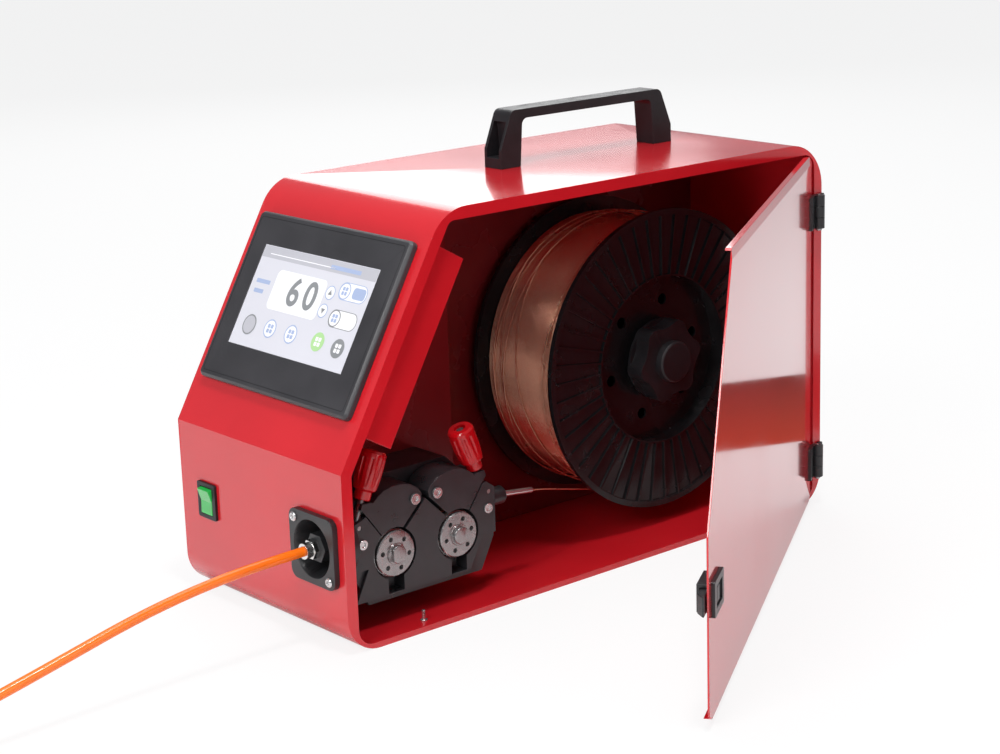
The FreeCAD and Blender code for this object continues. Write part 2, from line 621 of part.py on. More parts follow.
# Wire socket: a dished plate, two screws, brass body, black boss, nickel nut
DISH_FACE = f"({FRONT} - dish_proud)"
dish_plate = plate("XZ", [
    ("wire_x - dish_size / 2", "wire_z - dish_size / 2"), ("wire_x + dish_size / 2", "wire_z - dish_size / 2"),
    ("wire_x + dish_size / 2", "wire_z + dish_size / 2"), ("wire_x - dish_size / 2", "wire_z + dish_size / 2"),
], DISH_FACE, "dish_proud", {i: "dish_round" for i in range(4)})
dish_bowl = rod("Y", ("wire_x", FRONT, "wire_z"), "dish_mouth + dish_wall", "dish_depth - dish_proud + dish_wall")
dish_hollow = turned("Y", ("wire_x", DISH_FACE, "wire_z"), [
    ("-1", "0"), ("-1", "dish_mouth + 1"), ("0", "dish_mouth + 0.8"), ("1.2", "dish_mouth"),
    ("dish_depth", "dish_floor"), ("dish_depth", "0"),
])
CONNECTOR_RADIUS = "(dish_floor - 6)"
dish_through = rod("Y", ("wire_x", FRONT, "wire_z"), CONNECTOR_RADIUS, "dish_depth + dish_wall")
dish_screw_places = [("-", "+"), ("+", "-")]
dish_holes = [
    rod("Y", (f"wire_x {a} dish_screw_offset", f"{DISH_FACE} - 1", f"wire_z {b} dish_screw_offset"),
        "screw_shank_radius + 0.2", "dish_proud + 1")
    for a, b in dish_screw_places
]
node("socket_dish", cut(joined(dish_plate, dish_bowl), dish_hollow, dish_through, *dish_holes))
node("socket_screws", group(*[
    turned("Y", (f"wire_x {a} dish_screw_offset", f"{DISH_FACE} - 2", f"wire_z {b} dish_screw_offset"), [
        ("0", "1.5"), ("0", "screw_head_radius - 1"), ("1", "screw_head_radius"), ("2", "screw_head_radius"),
        ("2", "screw_shank_radius"), ("2 + dish_proud", "screw_shank_radius"), ("2 + dish_proud", "0"),
        ("1.2", "0"), ("1.2", "1.5"),
    ]) for a, b in dish_screw_places
]))
BORE = "(wire_radius + 1)"
CONNECTOR_START = f"({DISH_FACE} + dish_depth - 12)"
CONNECTOR_LENGTH = f"({FEEDER_Y} - feeder_half - free_gap - {CONNECTOR_START})"
node("wire_connector", turned("Y", ("wire_x", CONNECTOR_START, "wire_z"), [
    ("0", BORE), ("0", f"{CONNECTOR_RADIUS} - 1.5"), ("1.5", CONNECTOR_RADIUS),
    (f"{CONNECTOR_LENGTH} - 4", CONNECTOR_RADIUS), (f"{CONNECTOR_LENGTH} - 4", "8"),
    (CONNECTOR_LENGTH, "8"), (CONNECTOR_LENGTH, BORE),
]))
boss_block = prism("Y", ("wire_x", f"{CONNECTOR_START} - 10", "wire_z"), "12.5", "10", 6)
boss_bore = rod("Y", ("wire_x", f"{CONNECTOR_START} - 11", "wire_z"), BORE, "12")
node("connector_boss", cut(boss_block, boss_bore))
CONDUIT_Y = f"({FRONT} - conduit_start)"
nut = joined(
    prism("Y", ("wire_x", f"{CONDUIT_Y} + 3", "wire_z"), "8.2", f"{CONNECTOR_START} - 13 - {CONDUIT_Y}", 6),
    rod("Y", ("wire_x", f"{CONDUIT_Y} - 3", "wire_z"), "6.4", "7"),
)
conduit_seat = rod("Y", ("wire_x", f"{CONDUIT_Y} - 4", "wire_z"), "conduit_radius + running_gap", "4")
nut_bore = rod("Y", ("wire_x", f"{CONDUIT_Y} - 1", "wire_z"), BORE, "20")
node("fitting_nut", cut(nut, conduit_seat, nut_bore))

# Carry handle: a moulded bridge with hollow feet, held by two screws from inside the case
HANDLE_LEFT = "(handle_x - handle_width / 2)"
HALF = "(handle_length / 2)"
TOP = "(case_height + handle_height)"
bridge = plate("YZ", [
    (f"handle_centre_y - {HALF}", "case_height"), (f"handle_centre_y - {HALF} + handle_foot", "case_height"),
    (f"handle_centre_y - {HALF} + handle_foot + 3", f"{TOP} - handle_bar"),
    (f"handle_centre_y + {HALF} - handle_foot - 3", f"{TOP} - handle_bar"),
    (f"handle_centre_y + {HALF} - handle_foot", "case_height"), (f"handle_centre_y + {HALF}", "case_height"),
    (f"handle_centre_y + {HALF}", "case_height + 16"), (f"handle_centre_y + {HALF} - 13", f"{TOP}"),
    (f"handle_centre_y - {HALF} + 13", f"{TOP}"), (f"handle_centre_y - {HALF}", "case_height + 16"),
], HANDLE_LEFT, "handle_width", {2: "6", 3: "6", 6: "4", 7: "7", 8: "7", 9: "4"})
handle_pockets = [
    plate("YZ", [
        (f"handle_centre_y {side} ({HALF} - 15)", "case_height + 9"),
        (f"handle_centre_y {side} ({HALF} + 5)", "case_height + 9"),
        (f"handle_centre_y {side} ({HALF} + 5)", f"{TOP} - handle_bar - 2"),
        (f"handle_centre_y {side} ({HALF} - 13)", f"{TOP} - handle_bar - 2"),
    ], f"{HANDLE_LEFT} + 3", "handle_width - 6")
    for side in ("-", "+")
]
handle_bores = [
    rod("Z", ("handle_x", f"handle_centre_y {side} handle_screw_span / 2", "case_height - 1"),
        "handle_screw_radius + 0.2", "11")
    for side in ("-", "+")
]
node("carry_handle", cut(bridge, *handle_pockets, *handle_bores))
node("handle_screws", group(*[
    turned("Z", ("handle_x", f"handle_centre_y {side} handle_screw_span / 2", "case_height - case_sheet - 4"), [
        ("0", "1.5"), ("0", "handle_screw_radius + 1.5"), ("1", "handle_screw_radius + 2.5"),
        ("4", "handle_screw_radius + 2.5"), ("4", "handle_screw_radius"), ("case_sheet + 14", "handle_screw_radius"),
        ("case_sheet + 14", "0"), ("2", "0"), ("2", "1.5"),
    ]) for side in ("-", "+")
]))

# Door: a sheet inside the rim, folded along its top, its bottom and its hinge edge, standing open
DOOR_BACK = f"({RIGHT} - door_flange)"
DOOR_FRONT_Y = f"({FRONT} + {DOOR_INSET})"
LATCH_Y = f"({DOOR_FRONT_Y} + latch_back)"
LATCH_BACK_X = f"({RIGHT} - door_sheet - latch_depth)"
door_pan = cut(
    door_block(DOOR_INSET, DOOR_BACK, "door_flange", "rim_round - door_gap"),
    door_block(f"({DOOR_INSET} + door_sheet)", f"{DOOR_BACK} - 1", "door_flange - door_sheet + 1",
               "rim_round - door_gap - door_sheet", "30"),
)
DOOR_TOP = f"(case_height - {DOOR_INSET})"
lip_wedge = plate("XZ", [
    (RIGHT, f"{DOOR_TOP} - door_lip"), (f"{RIGHT} + 1", f"{DOOR_TOP} - door_lip"),
    (f"{RIGHT} + 1", f"{DOOR_TOP} + 1"), (f"{RIGHT} - door_sheet", f"{DOOR_TOP} + 1"),
], FRONT, "case_length")
latch_window = box(
    (f"{DOOR_BACK}", f"{RIGHT} + 1"),
    (f"{LATCH_Y} - latch_length / 2 + 3 - free_gap", f"{LATCH_Y} + latch_length / 2 - 3 + free_gap"),
    ("latch_z - latch_height / 2 + 3 - free_gap", "latch_z + latch_height / 2 - 3 + free_gap"),
)
node("door_panel", swung(cut(door_pan, latch_window, lip_wedge)))

# Door latch: a moulded frame through the door and a bolt that slides back with its finger grip
BOLT_FRONT = f"({RIGHT} - case_sheet - free_gap)"
BOLT_BACK = f"({BOLT_FRONT} - bolt_thickness)"
BOLT_TIP = f"({DOOR_FRONT_Y} - bolt_reach)"
BOLT_TAIL = f"({LATCH_Y} + 3)"
frame_plate = plate("YZ", [
    (f"{LATCH_Y} - latch_length / 2", "latch_z - latch_height / 2"),
    (f"{LATCH_Y} + latch_length / 2", "latch_z - latch_height / 2"),
    (f"{LATCH_Y} + latch_length / 2", "latch_z + latch_height / 2"),
    (f"{LATCH_Y} - latch_length / 2", "latch_z + latch_height / 2"),
], RIGHT, "latch_plate", {i: "2" for i in range(4)})
frame_body = box(
    (LATCH_BACK_X, RIGHT), (f"{LATCH_Y} - latch_length / 2 + 3", f"{LATCH_Y} + latch_length / 2 - 3"),
    ("latch_z - latch_height / 2 + 3", "latch_z + latch_height / 2 - 3"),
)
bolt_channel = box(
    (f"{BOLT_BACK} - free_gap", f"{BOLT_FRONT} + free_gap"),
    (f"{LATCH_Y} - latch_length", f"{BOLT_TAIL} + latch_travel + 1"),
    ("latch_z - bolt_height / 2 - free_gap", "latch_z + bolt_height / 2 + free_gap"),
)
grip_slot = box(
    (f"{BOLT_FRONT} - 1", f"{RIGHT} + latch_plate + 1"),
    (f"{BOLT_TAIL} - 9 - free_gap", f"{BOLT_TAIL} + latch_travel + free_gap"),
    ("latch_z - 6 - free_gap", "latch_z + 6 + free_gap"),
)
finger_dish = box(
    (f"{RIGHT} + latch_plate - 1.8", f"{RIGHT} + latch_plate + 1"),
    (f"{BOLT_TAIL} - 14", f"{BOLT_TAIL} + latch_travel + 1.5"), ("latch_z - 8", "latch_z + 8"),
)
node("latch_frame", swung(cut(joined(frame_plate, frame_body), bolt_channel, grip_slot, finger_dish)))
tongue = plate("XY", [
    (BOLT_FRONT, BOLT_TIP), (BOLT_FRONT, BOLT_TAIL), (BOLT_BACK, BOLT_TAIL),
    (BOLT_BACK, f"{BOLT_TIP} + bolt_thickness + 1"), (f"{BOLT_FRONT} - 1.2", BOLT_TIP),
], "latch_z - bolt_height / 2", "bolt_height")
grip = box(
    (f"{BOLT_FRONT} - 0.5", f"{RIGHT} + latch_plate - 0.6"), (f"{BOLT_TAIL} - 9", BOLT_TAIL),
    ("latch_z - 6", "latch_z + 6"),
)
node("latch_slider", swung(joined(tongue, grip)))

# Hinges: leaves on the rim, leaves on the door with the outer knuckles, and a pin in each
HINGES = ("hinge_low_z", "hinge_high_z")
LEAF_CLEAR = "(knuckle_radius + free_gap)"
case_leaves = []
door_leaves = []
hinge_pins = []
for middle in HINGES:
    low = f"({middle} - hinge_height / 2)"
    bore = rod("Z", (HINGE_X, HINGE_Y, f"{low} - 1"), "hinge_pin_radius + running_gap", "hinge_height + 2")
    span = (low, f"{low} + hinge_height")
    flat = box((RIGHT, f"{RIGHT} + hinge_leaf"), (f"{HINGE_Y} + {LEAF_CLEAR}", REAR), span)
    bridge_piece = box(
        (RIGHT, f"{RIGHT} + hinge_leaf"), (f"{HINGE_Y} + 1", REAR),
        (f"{middle} - knuckle_share / 2", f"{middle} + knuckle_share / 2"),
    )
    knuckle = rod("Z", (HINGE_X, HINGE_Y, f"{middle} - knuckle_share / 2"), "knuckle_radius", "knuckle_share")
    case_leaves.append(cut(joined(flat, bridge_piece, knuckle), bore))
    leaf = box((RIGHT, f"{RIGHT} + hinge_leaf"), (f"{HINGE_Y} - leaf_reach", f"{HINGE_Y} - 1"), span)
    ends = rod("Z", (HINGE_X, HINGE_Y, low), "knuckle_radius", "hinge_height")
    middle_gap = box(
        (RIGHT, f"{HINGE_X} + knuckle_radius + 1"), (f"{HINGE_Y} - {LEAF_CLEAR}", f"{HINGE_Y} + knuckle_radius + 1"),
        (f"{middle} - knuckle_share / 2 - knuckle_gap", f"{middle} + knuckle_share / 2 + knuckle_gap"),
    )
    door_leaves.append(swung(cut(joined(leaf, ends), middle_gap, bore)))
    hinge_pins.append(turned("Z", (HINGE_X, HINGE_Y, f"{low} - 2"), [
        ("0", "0"), ("0", "hinge_pin_radius + 1"), ("1.6", "hinge_pin_radius + 1"), ("1.6", "hinge_pin_radius"),
        ("hinge_height + 3", "hinge_pin_radius"), ("hinge_height + 3", "0"),
    ]))
node("hinge_case_leaves", group(*case_leaves))
node("hinge_door_leaves", group(*door_leaves))
node("hinge_pins", group(*hinge_pins))
node("stop_screw", turned("Z", (f"{RIGHT} - 17", f"{FRONT} + 87", "case_sheet"), [
    ("0", "0"), ("0", "3"), ("1.2", "3"), ("1.2", "1.5"), ("9", "1.5"), ("9", "0"),
]))

# Feeder: mounting block with the gear chamber, and the moulded body before it
LOW_HALF = "(feeder_half - feeder_cut_run)"
CUT_Z = "(feeder_bottom + feeder_cut_rise)"
ROLL_Y = f"({FEEDER_Y} + roll_spacing / 2)"
ROLL_FRONT_Y = f"({FEEDER_Y} - roll_spacing / 2)"
ROLL_X = "(wire_x - roll_width / 2)"
POCKET = "(roll_radius + pocket_gap)"
GEAR_TIP = "(gear_module * (gear_teeth / 2 + 1))"
PINION_TIP = "(gear_module * (pinion_teeth / 2 + 1))"
CHAMBER = "(gear_width + 2)"
block = plate("YZ", [
    (f"{FEEDER_Y} - {LOW_HALF}", "feeder_bottom"), (f"{FEEDER_Y} + {LOW_HALF}", "feeder_bottom"),
    (f"{FEEDER_Y} + feeder_half", CUT_Z), (f"{FEEDER_Y} + feeder_half", "base_shoulder"),
    (f"{FEEDER_Y} + base_top_half", "base_top"), (f"{FEEDER_Y} - base_top_half", "base_top"),
    (f"{FEEDER_Y} - feeder_half", "base_shoulder"), (f"{FEEDER_Y} - feeder_half", CUT_Z),
], "partition_x", "base_front - partition_x")
chambers = [
    rod("X", (f"base_front - {CHAMBER}", y, ROLL_Z), f"{radius} + 1", f"{CHAMBER} + 1")
    for y, radius in ((ROLL_Y, GEAR_TIP), (ROLL_FRONT_Y, GEAR_TIP), (FEEDER_Y, PINION_TIP))
]
shaft_bores = [
    rod("X", ("partition_x + 6", y, ROLL_Z), "shaft_radius + running_gap", "base_front - partition_x")
    for y in (ROLL_Y, ROLL_FRONT_Y)
]
motor_bore = rod("X", ("partition_x - 1", FEEDER_Y, ROLL_Z), "motor_shaft_radius + 1", "base_front - partition_x")
pivot_bores = [
    rod("X", ("base_front - 16", f"{FEEDER_Y} {side} arm_pivot_side", "arm_pivot_z"), "pivot_radius + running_gap", "17")
    for side in ("-", "+")
]
node("feeder_base", cut(block, *chambers, *shaft_bores, motor_bore, *pivot_bores))

SEAM_TOP_SIDE = "(rod_pivot_side - 6.2)"
SEAM_FOOT_SIDE = "(roll_spacing / 2 + 12.8)"
SEAM_FOOT_Z = "(vee_foot - 1)"
half_body = [
    (LOW_HALF, "feeder_bottom"), ("feeder_half", CUT_Z), ("feeder_half", "base_shoulder"),
    (f"{SEAM_TOP_SIDE} + 4", "base_shoulder + 6"), (SEAM_TOP_SIDE, "base_shoulder + 5.6"),
    (SEAM_FOOT_SIDE, SEAM_FOOT_Z), ("vee_half", "vee_foot"),
]


def both_sides(points):
    """A feeder outline from its rear half, whose points run from the bottom to the top."""
    rear = [(f"{FEEDER_Y} + {side}", up) for side, up in points]
    front = [(f"{FEEDER_Y} - {side}", up) for side, up in reversed(points)]
    return rear, front


rear_half, front_half = both_sides(half_body)
body_low = plate("YZ", rear_half + [(FEEDER_Y, "vee_top")] + front_half,
                 "base_front", "feeder_front - land_depth - base_front")
land_half = [
    (f"{LOW_HALF} - 14", "land_low"), (f"{LOW_HALF} - 1", f"{CUT_Z} + 4"), ("feeder_half", f"{CUT_Z} + 4"),
] + half_body[2:]
land_rear, land_front = both_sides(land_half)
body_land = plate("YZ", land_rear + [(FEEDER_Y, "vee_top")] + land_front, "feeder_front - land_depth", "land_depth")
pockets = [rod("X", (f"{ROLL_X} - 1", y, ROLL_Z), POCKET, "feeder_front") for y in (ROLL_Y, ROLL_FRONT_Y)]
drains = [
    box((f"{ROLL_X} + 2", "feeder_front + 1"), (f"{y} - 8", f"{y} + 8"), ("land_low + 1", ROLL_Z))
    for y in (ROLL_Y, ROLL_FRONT_Y)
]
roll_bores = [rod("X", ("base_front - 1", y, ROLL_Z), "shaft_radius + 0.4", "20") for y in (ROLL_Y, ROLL_FRONT_Y)]
wire_slot = rod("Y", ("wire_x", f"{FEEDER_Y} - feeder_half - 1", "wire_z"), "guide_radius + running_gap",
                "2 * feeder_half + 2")
EYE_CLEAR = "(rod_eye_width / 2 + free_gap)"
eye_slots = [
    box(("rod_x - " + EYE_CLEAR, "rod_x + " + EYE_CLEAR), span, ("rod_pivot_z - rod_eye_radius - 1", "base_top"))
    for span in (
        (f"{FEEDER_Y} + rod_pivot_side - rod_eye_radius - 2", f"{FEEDER_Y} + feeder_half + 1"),
        (f"{FEEDER_Y} - feeder_half - 1", f"{FEEDER_Y} - rod_pivot_side + rod_eye_radius + 2"),
    )
]
pin_bores = [
    rod("X", ("rod_x - 9", f"{FEEDER_Y} {side} rod_pivot_side", "rod_pivot_z"), "rod_pin_radius", "18")
    for side in ("-", "+")
]
SCREW_SIDE = "(feeder_half - 8)"
SCREW_Z = "(wire_z - 4.8)"
body_screw_bores = [
    rod("X", ("base_front - 1", f"{FEEDER_Y} {side} {SCREW_SIDE}", SCREW_Z), "screw_shank_radius + 0.2", "31")
    for side in ("-", "+")
]
heel_room = box(
    ("base_front - 1", "feeder_front + 1"), (f"{FEEDER_Y} - 60", f"{FEEDER_Y} - 55.5"), ("97.6", "99.6"),
)
node("feeder_housing", cut(
    joined(body_low, body_land), *pockets, heel_room, *drains, *roll_bores, wire_slot, *eye_slots, *pin_bores, *body_screw_bores,
))
node("rod_pins", group(*[
    rod("X", ("rod_x - 9", f"{FEEDER_Y} {side} rod_pivot_side", "rod_pivot_z"), "rod_pin_radius", "15.6")
    for side in ("-", "+")
]))


def socket_screw(y, z, start, reach, shank, head, deep):
    """A socket head screw along X whose head stands before a face."""
    return turned("X", (start, y, z), [
        ("0", "0"), ("0", shank), (reach, shank), (reach, head), (f"{reach} + {deep}", head),
        (f"{reach} + {deep}", f"{head} * 0.45"), (f"{reach} + 1", f"{head} * 0.45"), (f"{reach} + 1", "0"),
    ])


node("housing_screws", group(*[
    socket_screw(f"{FEEDER_Y} {side} {SCREW_SIDE}", SCREW_Z, "base_front + 1", "feeder_front - base_front - 1",
                 "screw_shank_radius", "4.2", "2")
    for side in ("-", "+")
]))
node("pivot_bolts", group(*[
    socket_screw(f"{FEEDER_Y} {side} arm_pivot_side", "arm_pivot_z", "base_front - 15",
                 "feeder_front + free_gap - base_front + 15", "pivot_radius", "4.6", "2.4")
    for side in ("-", "+")
]))

# Drive rolls: a shaft with its gear, the grooved roll and the steel cap with six holes


def gear(teeth, bore):
    """A spur gear with straight sided teeth, centred on the X axis."""
    pitch = size.gear_module * teeth / 2
    tip = pitch + size.gear_module
    root = pitch - 1.25 * size.gear_module
    thick = (math.pi * size.gear_module - size.gear_backlash) / 2
    slant = math.tan(math.radians(20))
    corners = []
    for tooth in range(teeth):
        middle = 2 * math.pi * tooth / teeth
        for radius, side in ((root, -1), (tip, -1), (tip, 1), (root, 1)):
            half = (thick / 2 - (radius - pitch) * slant) / radius
            angle = middle + side * half
            corners.append(Vector(0, radius * math.sin(angle), radius * math.cos(angle)))
    outline = Part.Face(Part.makePolygon(corners + corners[:1]))
    wheel = outline.extrude(Vector(size.gear_width, 0, 0))
    return wheel.cut(Part.makeCylinder(bore, size.gear_width + 2, Vector(-1, 0, 0), Vector(1, 0, 0)))


GEAR_X = f"(base_front - {CHAMBER} + 1)"
gear_wheel = put(solid(gear(int(size.gear_teeth), size.shaft_radius)), GEAR_X, ROLL_Y, ROLL_Z)
CAP_X = f"({ROLL_X} + roll_width + 0.2)"
shaft = rod("X", ("partition_x + 7", ROLL_Y, ROLL_Z), "shaft_radius", f"{CAP_X} - partition_x - 7")
rear_gear = node("drive_gear_rear", joined(gear_wheel, shaft))
GROOVE = "(wire_radius + 0.3)"
rear_roll = node("drive_roll_rear", turned("X", (ROLL_X, ROLL_Y, ROLL_Z), [
    ("0", "shaft_radius + 0.02"), ("0", "roll_radius - 0.6"), ("0.6", "roll_radius"),
    (f"roll_width / 2 - 1.6", "roll_radius"), ("roll_width / 2 - 0.2", f"roll_radius - {GROOVE}"),
    ("roll_width / 2 + 0.2", f"roll_radius - {GROOVE}"), ("roll_width / 2 + 1.6", "roll_radius"),
    ("roll_width - 0.6", "roll_radius"), ("roll_width", "roll_radius - 0.6"), ("roll_width", "shaft_radius + 0.02"),
]))
cap_disc = turned("X", (CAP_X, ROLL_Y, ROLL_Z), [
    ("0", "0"), ("0", "cap_radius"), ("cap_thickness - 0.8", "cap_radius"), ("cap_thickness", "cap_radius - 0.8"),
    ("cap_thickness", "shaft_end_radius + 1.6"), ("cap_thickness + 1", "shaft_end_radius + 1.2"),
    ("cap_thickness + 1", "shaft_end_radius"), ("cap_thickness + shaft_end_length - 0.8", "shaft_end_radius"),
    ("cap_thickness + shaft_end_length", "shaft_end_radius - 0.8"), ("cap_thickness + shaft_end_length", "0"),
])
cap_holes = [
    rod("X", (f"{CAP_X} - 1", f"{ROLL_Y} + cap_hole_circle * sin({60 * i + 20})",
              f"{ROLL_Z} + cap_hole_circle * cos({60 * i + 20})"), "cap_hole_radius", "cap_thickness + 2")
    for i in range(6)
]
shaft_flat = box(
    (f"{CAP_X} + cap_thickness + 1.2", f"{CAP_X} + cap_thickness + shaft_end_length + 1"),
    (f"{ROLL_Y} + shaft_end_radius - 2", f"{ROLL_Y} + shaft_end_radius + 1"),
    (f"{ROLL_Z} - shaft_end_radius", f"{ROLL_Z} + shaft_end_radius"),
)
rear_cap = node("roll_cap_rear", cut(cap_disc, *cap_holes, shaft_flat))
node("drive_gear_front", mirrored(rear_gear))
node("drive_roll_front", mirrored(rear_roll))
node("roll_cap_front", mirrored(rear_cap))

# Motor behind the partition, its gearbox, and the pinion on its shaft
pinion = gear(int(size.pinion_teeth), size.motor_shaft_radius)
pinion.rotate(Vector(), Vector(1, 0, 0), 180 / size.pinion_teeth)
pinion_wheel = put(solid(pinion), GEAR_X, FEEDER_Y, ROLL_Z)
motor_shaft = rod("X", ("partition_x - partition_sheet - 4", FEEDER_Y, ROLL_Z), "motor_shaft_radius",
                  f"{GEAR_X} + gear_width - partition_x + partition_sheet + 4")
node("motor_pinion", joined(pinion_wheel, motor_shaft))
BOX_BACK = "(partition_x - partition_sheet - gearbox_length)"
gearbox_body = rod("X", (BOX_BACK, FEEDER_Y, ROLL_Z), "gearbox_radius", "gearbox_length")
gearbox_bore = rod("X", ("partition_x - partition_sheet - 5", FEEDER_Y, ROLL_Z), "motor_shaft_radius + 0.4", "8")
node("motor_gearbox", cut(gearbox_body, gearbox_bore))
node("drive_motor", turned("X", (f"{BOX_BACK} - motor_length", FEEDER_Y, ROLL_Z), [
    ("0", "0"), ("0", "motor_radius - 3"), ("3", "motor_radius"), ("16", "motor_radius"), ("16", "motor_radius - 1"),
    ("motor_length", "motor_radius - 1"), ("motor_length", "0"),
]))

# Pressure arms: moulded arms with a hollow for the roller and a fork under the tension knob
ROLLER_Z = "(wire_z + wire_radius + 0.1 + roller_radius)"
ARM_BACK = "(base_front + 1)"
SIN = "sin(rod_tilt)"
COS = "cos(rod_tilt)"


def on_seat(along, up):
    """A point of the fork, given along its seat and above it, as side and height."""
    return (f"rod_pivot_side - {SIN} * (seat_distance + {up}) + {COS} * ({along})",
            f"rod_pivot_z + {COS} * (seat_distance + {up}) + {SIN} * ({along})")


arm_points = [
    ("vee_half + 2.6", "vee_foot + 1.6"), ("4.4", "vee_top - 0.6"), ("3.2", "arm_pivot_z + 2.5"),
    ("6.7", "arm_pivot_z + 8"), ("14", "arm_pivot_z + 12.6"), ("23", "arm_pivot_z + 15"),
    ("32", "arm_pivot_z + 15.2"), ("40.7", "arm_pivot_z + 13.4"), ("47", "arm_pivot_z + 9.8"),
    on_seat("-collar_radius", "0"), on_seat("-5", "0"), on_seat("3.5", "-2.6"), on_seat("3.2", "-7.5"),
    (f"{SEAM_TOP_SIDE} - 0.9", "base_shoulder + 6"), (f"{SEAM_FOOT_SIDE} - 0.9", f"{SEAM_FOOT_Z} + 0.6"),
]
arm_outline = [(f"{FEEDER_Y} + {side}", up) for side, up in arm_points]
arm_block = plate("YZ", arm_outline, ARM_BACK, f"feeder_front - {ARM_BACK}")
roll_clear = rod("X", ("base_front", ROLL_Y, ROLL_Z), f"{POCKET} + 0.2", "feeder_front")
ROLLER_X = "(wire_x - roller_width / 2)"
CAVITY_BACK = f"({ROLLER_X} - 1)"
CAVITY = f"(feeder_front - arm_front_wall - {CAVITY_BACK})"
roller_cavity = rod("X", (CAVITY_BACK, ROLL_Y, ROLLER_Z), "roller_radius + 1.2", CAVITY)
roller_mouth = box(
    (CAVITY_BACK, "feeder_front - arm_front_wall"), (f"{ROLL_Y} - roller_radius + 2", f"{ROLL_Y} + roller_radius - 2"),
    ("wire_z - 3", ROLLER_Z),
)
pivot_bore = rod("X", ("base_front", f"{FEEDER_Y} + arm_pivot_side", "arm_pivot_z"), "pivot_radius + running_gap", "40")
fork_slot = on_rod(group(
    box((f"-{EYE_CLEAR}", EYE_CLEAR), ("-rod_radius - 0.8", "20"), ("-12", "seat_distance + 8"))
))
GUIDE_CLEAR = "(guide_radius + free_gap)"
guide_slot = box(
    (f"wire_x - {GUIDE_CLEAR}", f"wire_x + {GUIDE_CLEAR}"), (FEEDER_Y, f"{FEEDER_Y} + feeder_half"),
    ("vee_foot - 9", f"wire_z + {GUIDE_CLEAR}"),
)
arm = cut(arm_block, roll_clear, roller_cavity, roller_mouth, pivot_bore, fork_slot, guide_slot)
roller_pin = rod("X", (f"{CAVITY_BACK} - 1", ROLL_Y, ROLLER_Z), "roller_pin_radius", f"{CAVITY} + 2")
rear_arm = node("pressure_arm_rear", joined(arm, roller_pin))
rear_roller = node("pressure_roller_rear", turned("X", (ROLLER_X, ROLL_Y, ROLLER_Z), [
    ("0", "roller_pin_radius + running_gap"), ("0", "roller_radius - 0.5"), ("0.5", "roller_radius"),
    ("roller_width - 0.5", "roller_radius"), ("roller_width", "roller_radius - 0.5"),
    ("roller_width", "roller_pin_radius + running_gap"),
]))
node("pressure_arm_front", mirrored(rear_arm))
node("pressure_roller_front", mirrored(rear_roller))

# Tension rods that swing out of the forks, each with a fluted knob that turns on it
KNOB_LOW = "(seat_distance + seat_gap)"
KNOB_TOP = f"({KNOB_LOW} + knob_length)"
eye = rod("X", ("-rod_eye_width / 2", "0", "0"), "rod_eye_radius", "rod_eye_width")
eye_bore = rod("X", ("-rod_eye_width", "0", "0"), "rod_pin_radius + running_gap", "2 * rod_eye_width")
stem = rod("Z", ("0", "0", "rod_eye_radius - 1.5"), "rod_radius", f"{KNOB_TOP} - rod_eye_radius")
rear_rod = node("tension_rod_rear", on_rod(cut(joined(eye, stem), eye_bore)))
knob_blank = turned("Z", ("0", "0", KNOB_LOW), [
    ("0", "rod_radius + running_gap"), ("0", "collar_radius - 0.8"), ("0.8", "collar_radius"), ("7", "collar_radius"),
    ("9", "knob_radius - 1.2"), ("knob_length * 0.55", "knob_radius"), ("knob_length - 2", "knob_radius"),
    ("knob_length", "knob_radius - 1.6"), ("knob_length", "rod_radius + 2"), ("knob_length - 3", "rod_radius + 2"),
    ("knob_length - 3", "rod_radius + running_gap"),
])
FLUTE = "(knob_radius + 1)"
flutes = [
    rod("Z", (f"{FLUTE} * cos({turn})", f"{FLUTE} * sin({turn})", f"{KNOB_LOW} + 10"), "2", "knob_length - 16")
    for turn in (360 / size.knob_flutes * i for i in range(int(size.knob_flutes)))
]
rear_knob = node("tension_knob_rear", on_rod(cut(knob_blank, *flutes)))
node("tension_rod_front", mirrored(rear_rod))
node("tension_knob_front", mirrored(rear_knob))

# Wire path: inlet nut and tube, guide tubes round the rolls, and the wire itself
INLET_Y = f"({FEEDER_Y} + feeder_half)"
node("inlet_nut", turned("Y", ("wire_x", INLET_Y, "wire_z"), [
    ("0", "inlet_tube_radius + 0.1"), ("0", "inlet_nut_radius - 1.4"), ("2", "inlet_nut_radius"),
    ("inlet_nut_length - 1", "inlet_nut_radius"), ("inlet_nut_length", "inlet_nut_radius - 1"),
    ("inlet_nut_length", "inlet_tube_radius + 0.1"),
]))
tube_run = turned("Y", ("0", "0", "0"), [
    ("0", BORE), ("0", "inlet_tube_radius"), ("inlet_tube_length - 1", "inlet_tube_radius"),
    ("inlet_tube_length", "inlet_tube_radius - 0.6"), ("inlet_tube_length", BORE),
])
TUBE_START = f"({INLET_Y} + inlet_nut_length)"
node("inlet_tube", put(group(tube_run), "wire_x", TUBE_START, "wire_z", (1, 0, 0), "-inlet_droop"))
STOP_SIDE = "(roll_spacing / 2 - guide_stop)"
guide_spans = [
    (f"{FEEDER_Y} - feeder_half", f"{ROLL_FRONT_Y} - guide_stop"),
    (f"{FEEDER_Y} - {STOP_SIDE}", f"{FEEDER_Y} + {STOP_SIDE}"), (f"{ROLL_Y} + guide_stop", INLET_Y),
]
node("wire_guides", group(*[
    cut(rod("Y", ("wire_x", low, "wire_z"), "guide_radius", f"{high} - ({low})"),
        rod("Y", ("wire_x", f"{low} - 1", "wire_z"), BORE, f"{high} - ({low}) + 2"))
    for low, high in guide_spans
]))


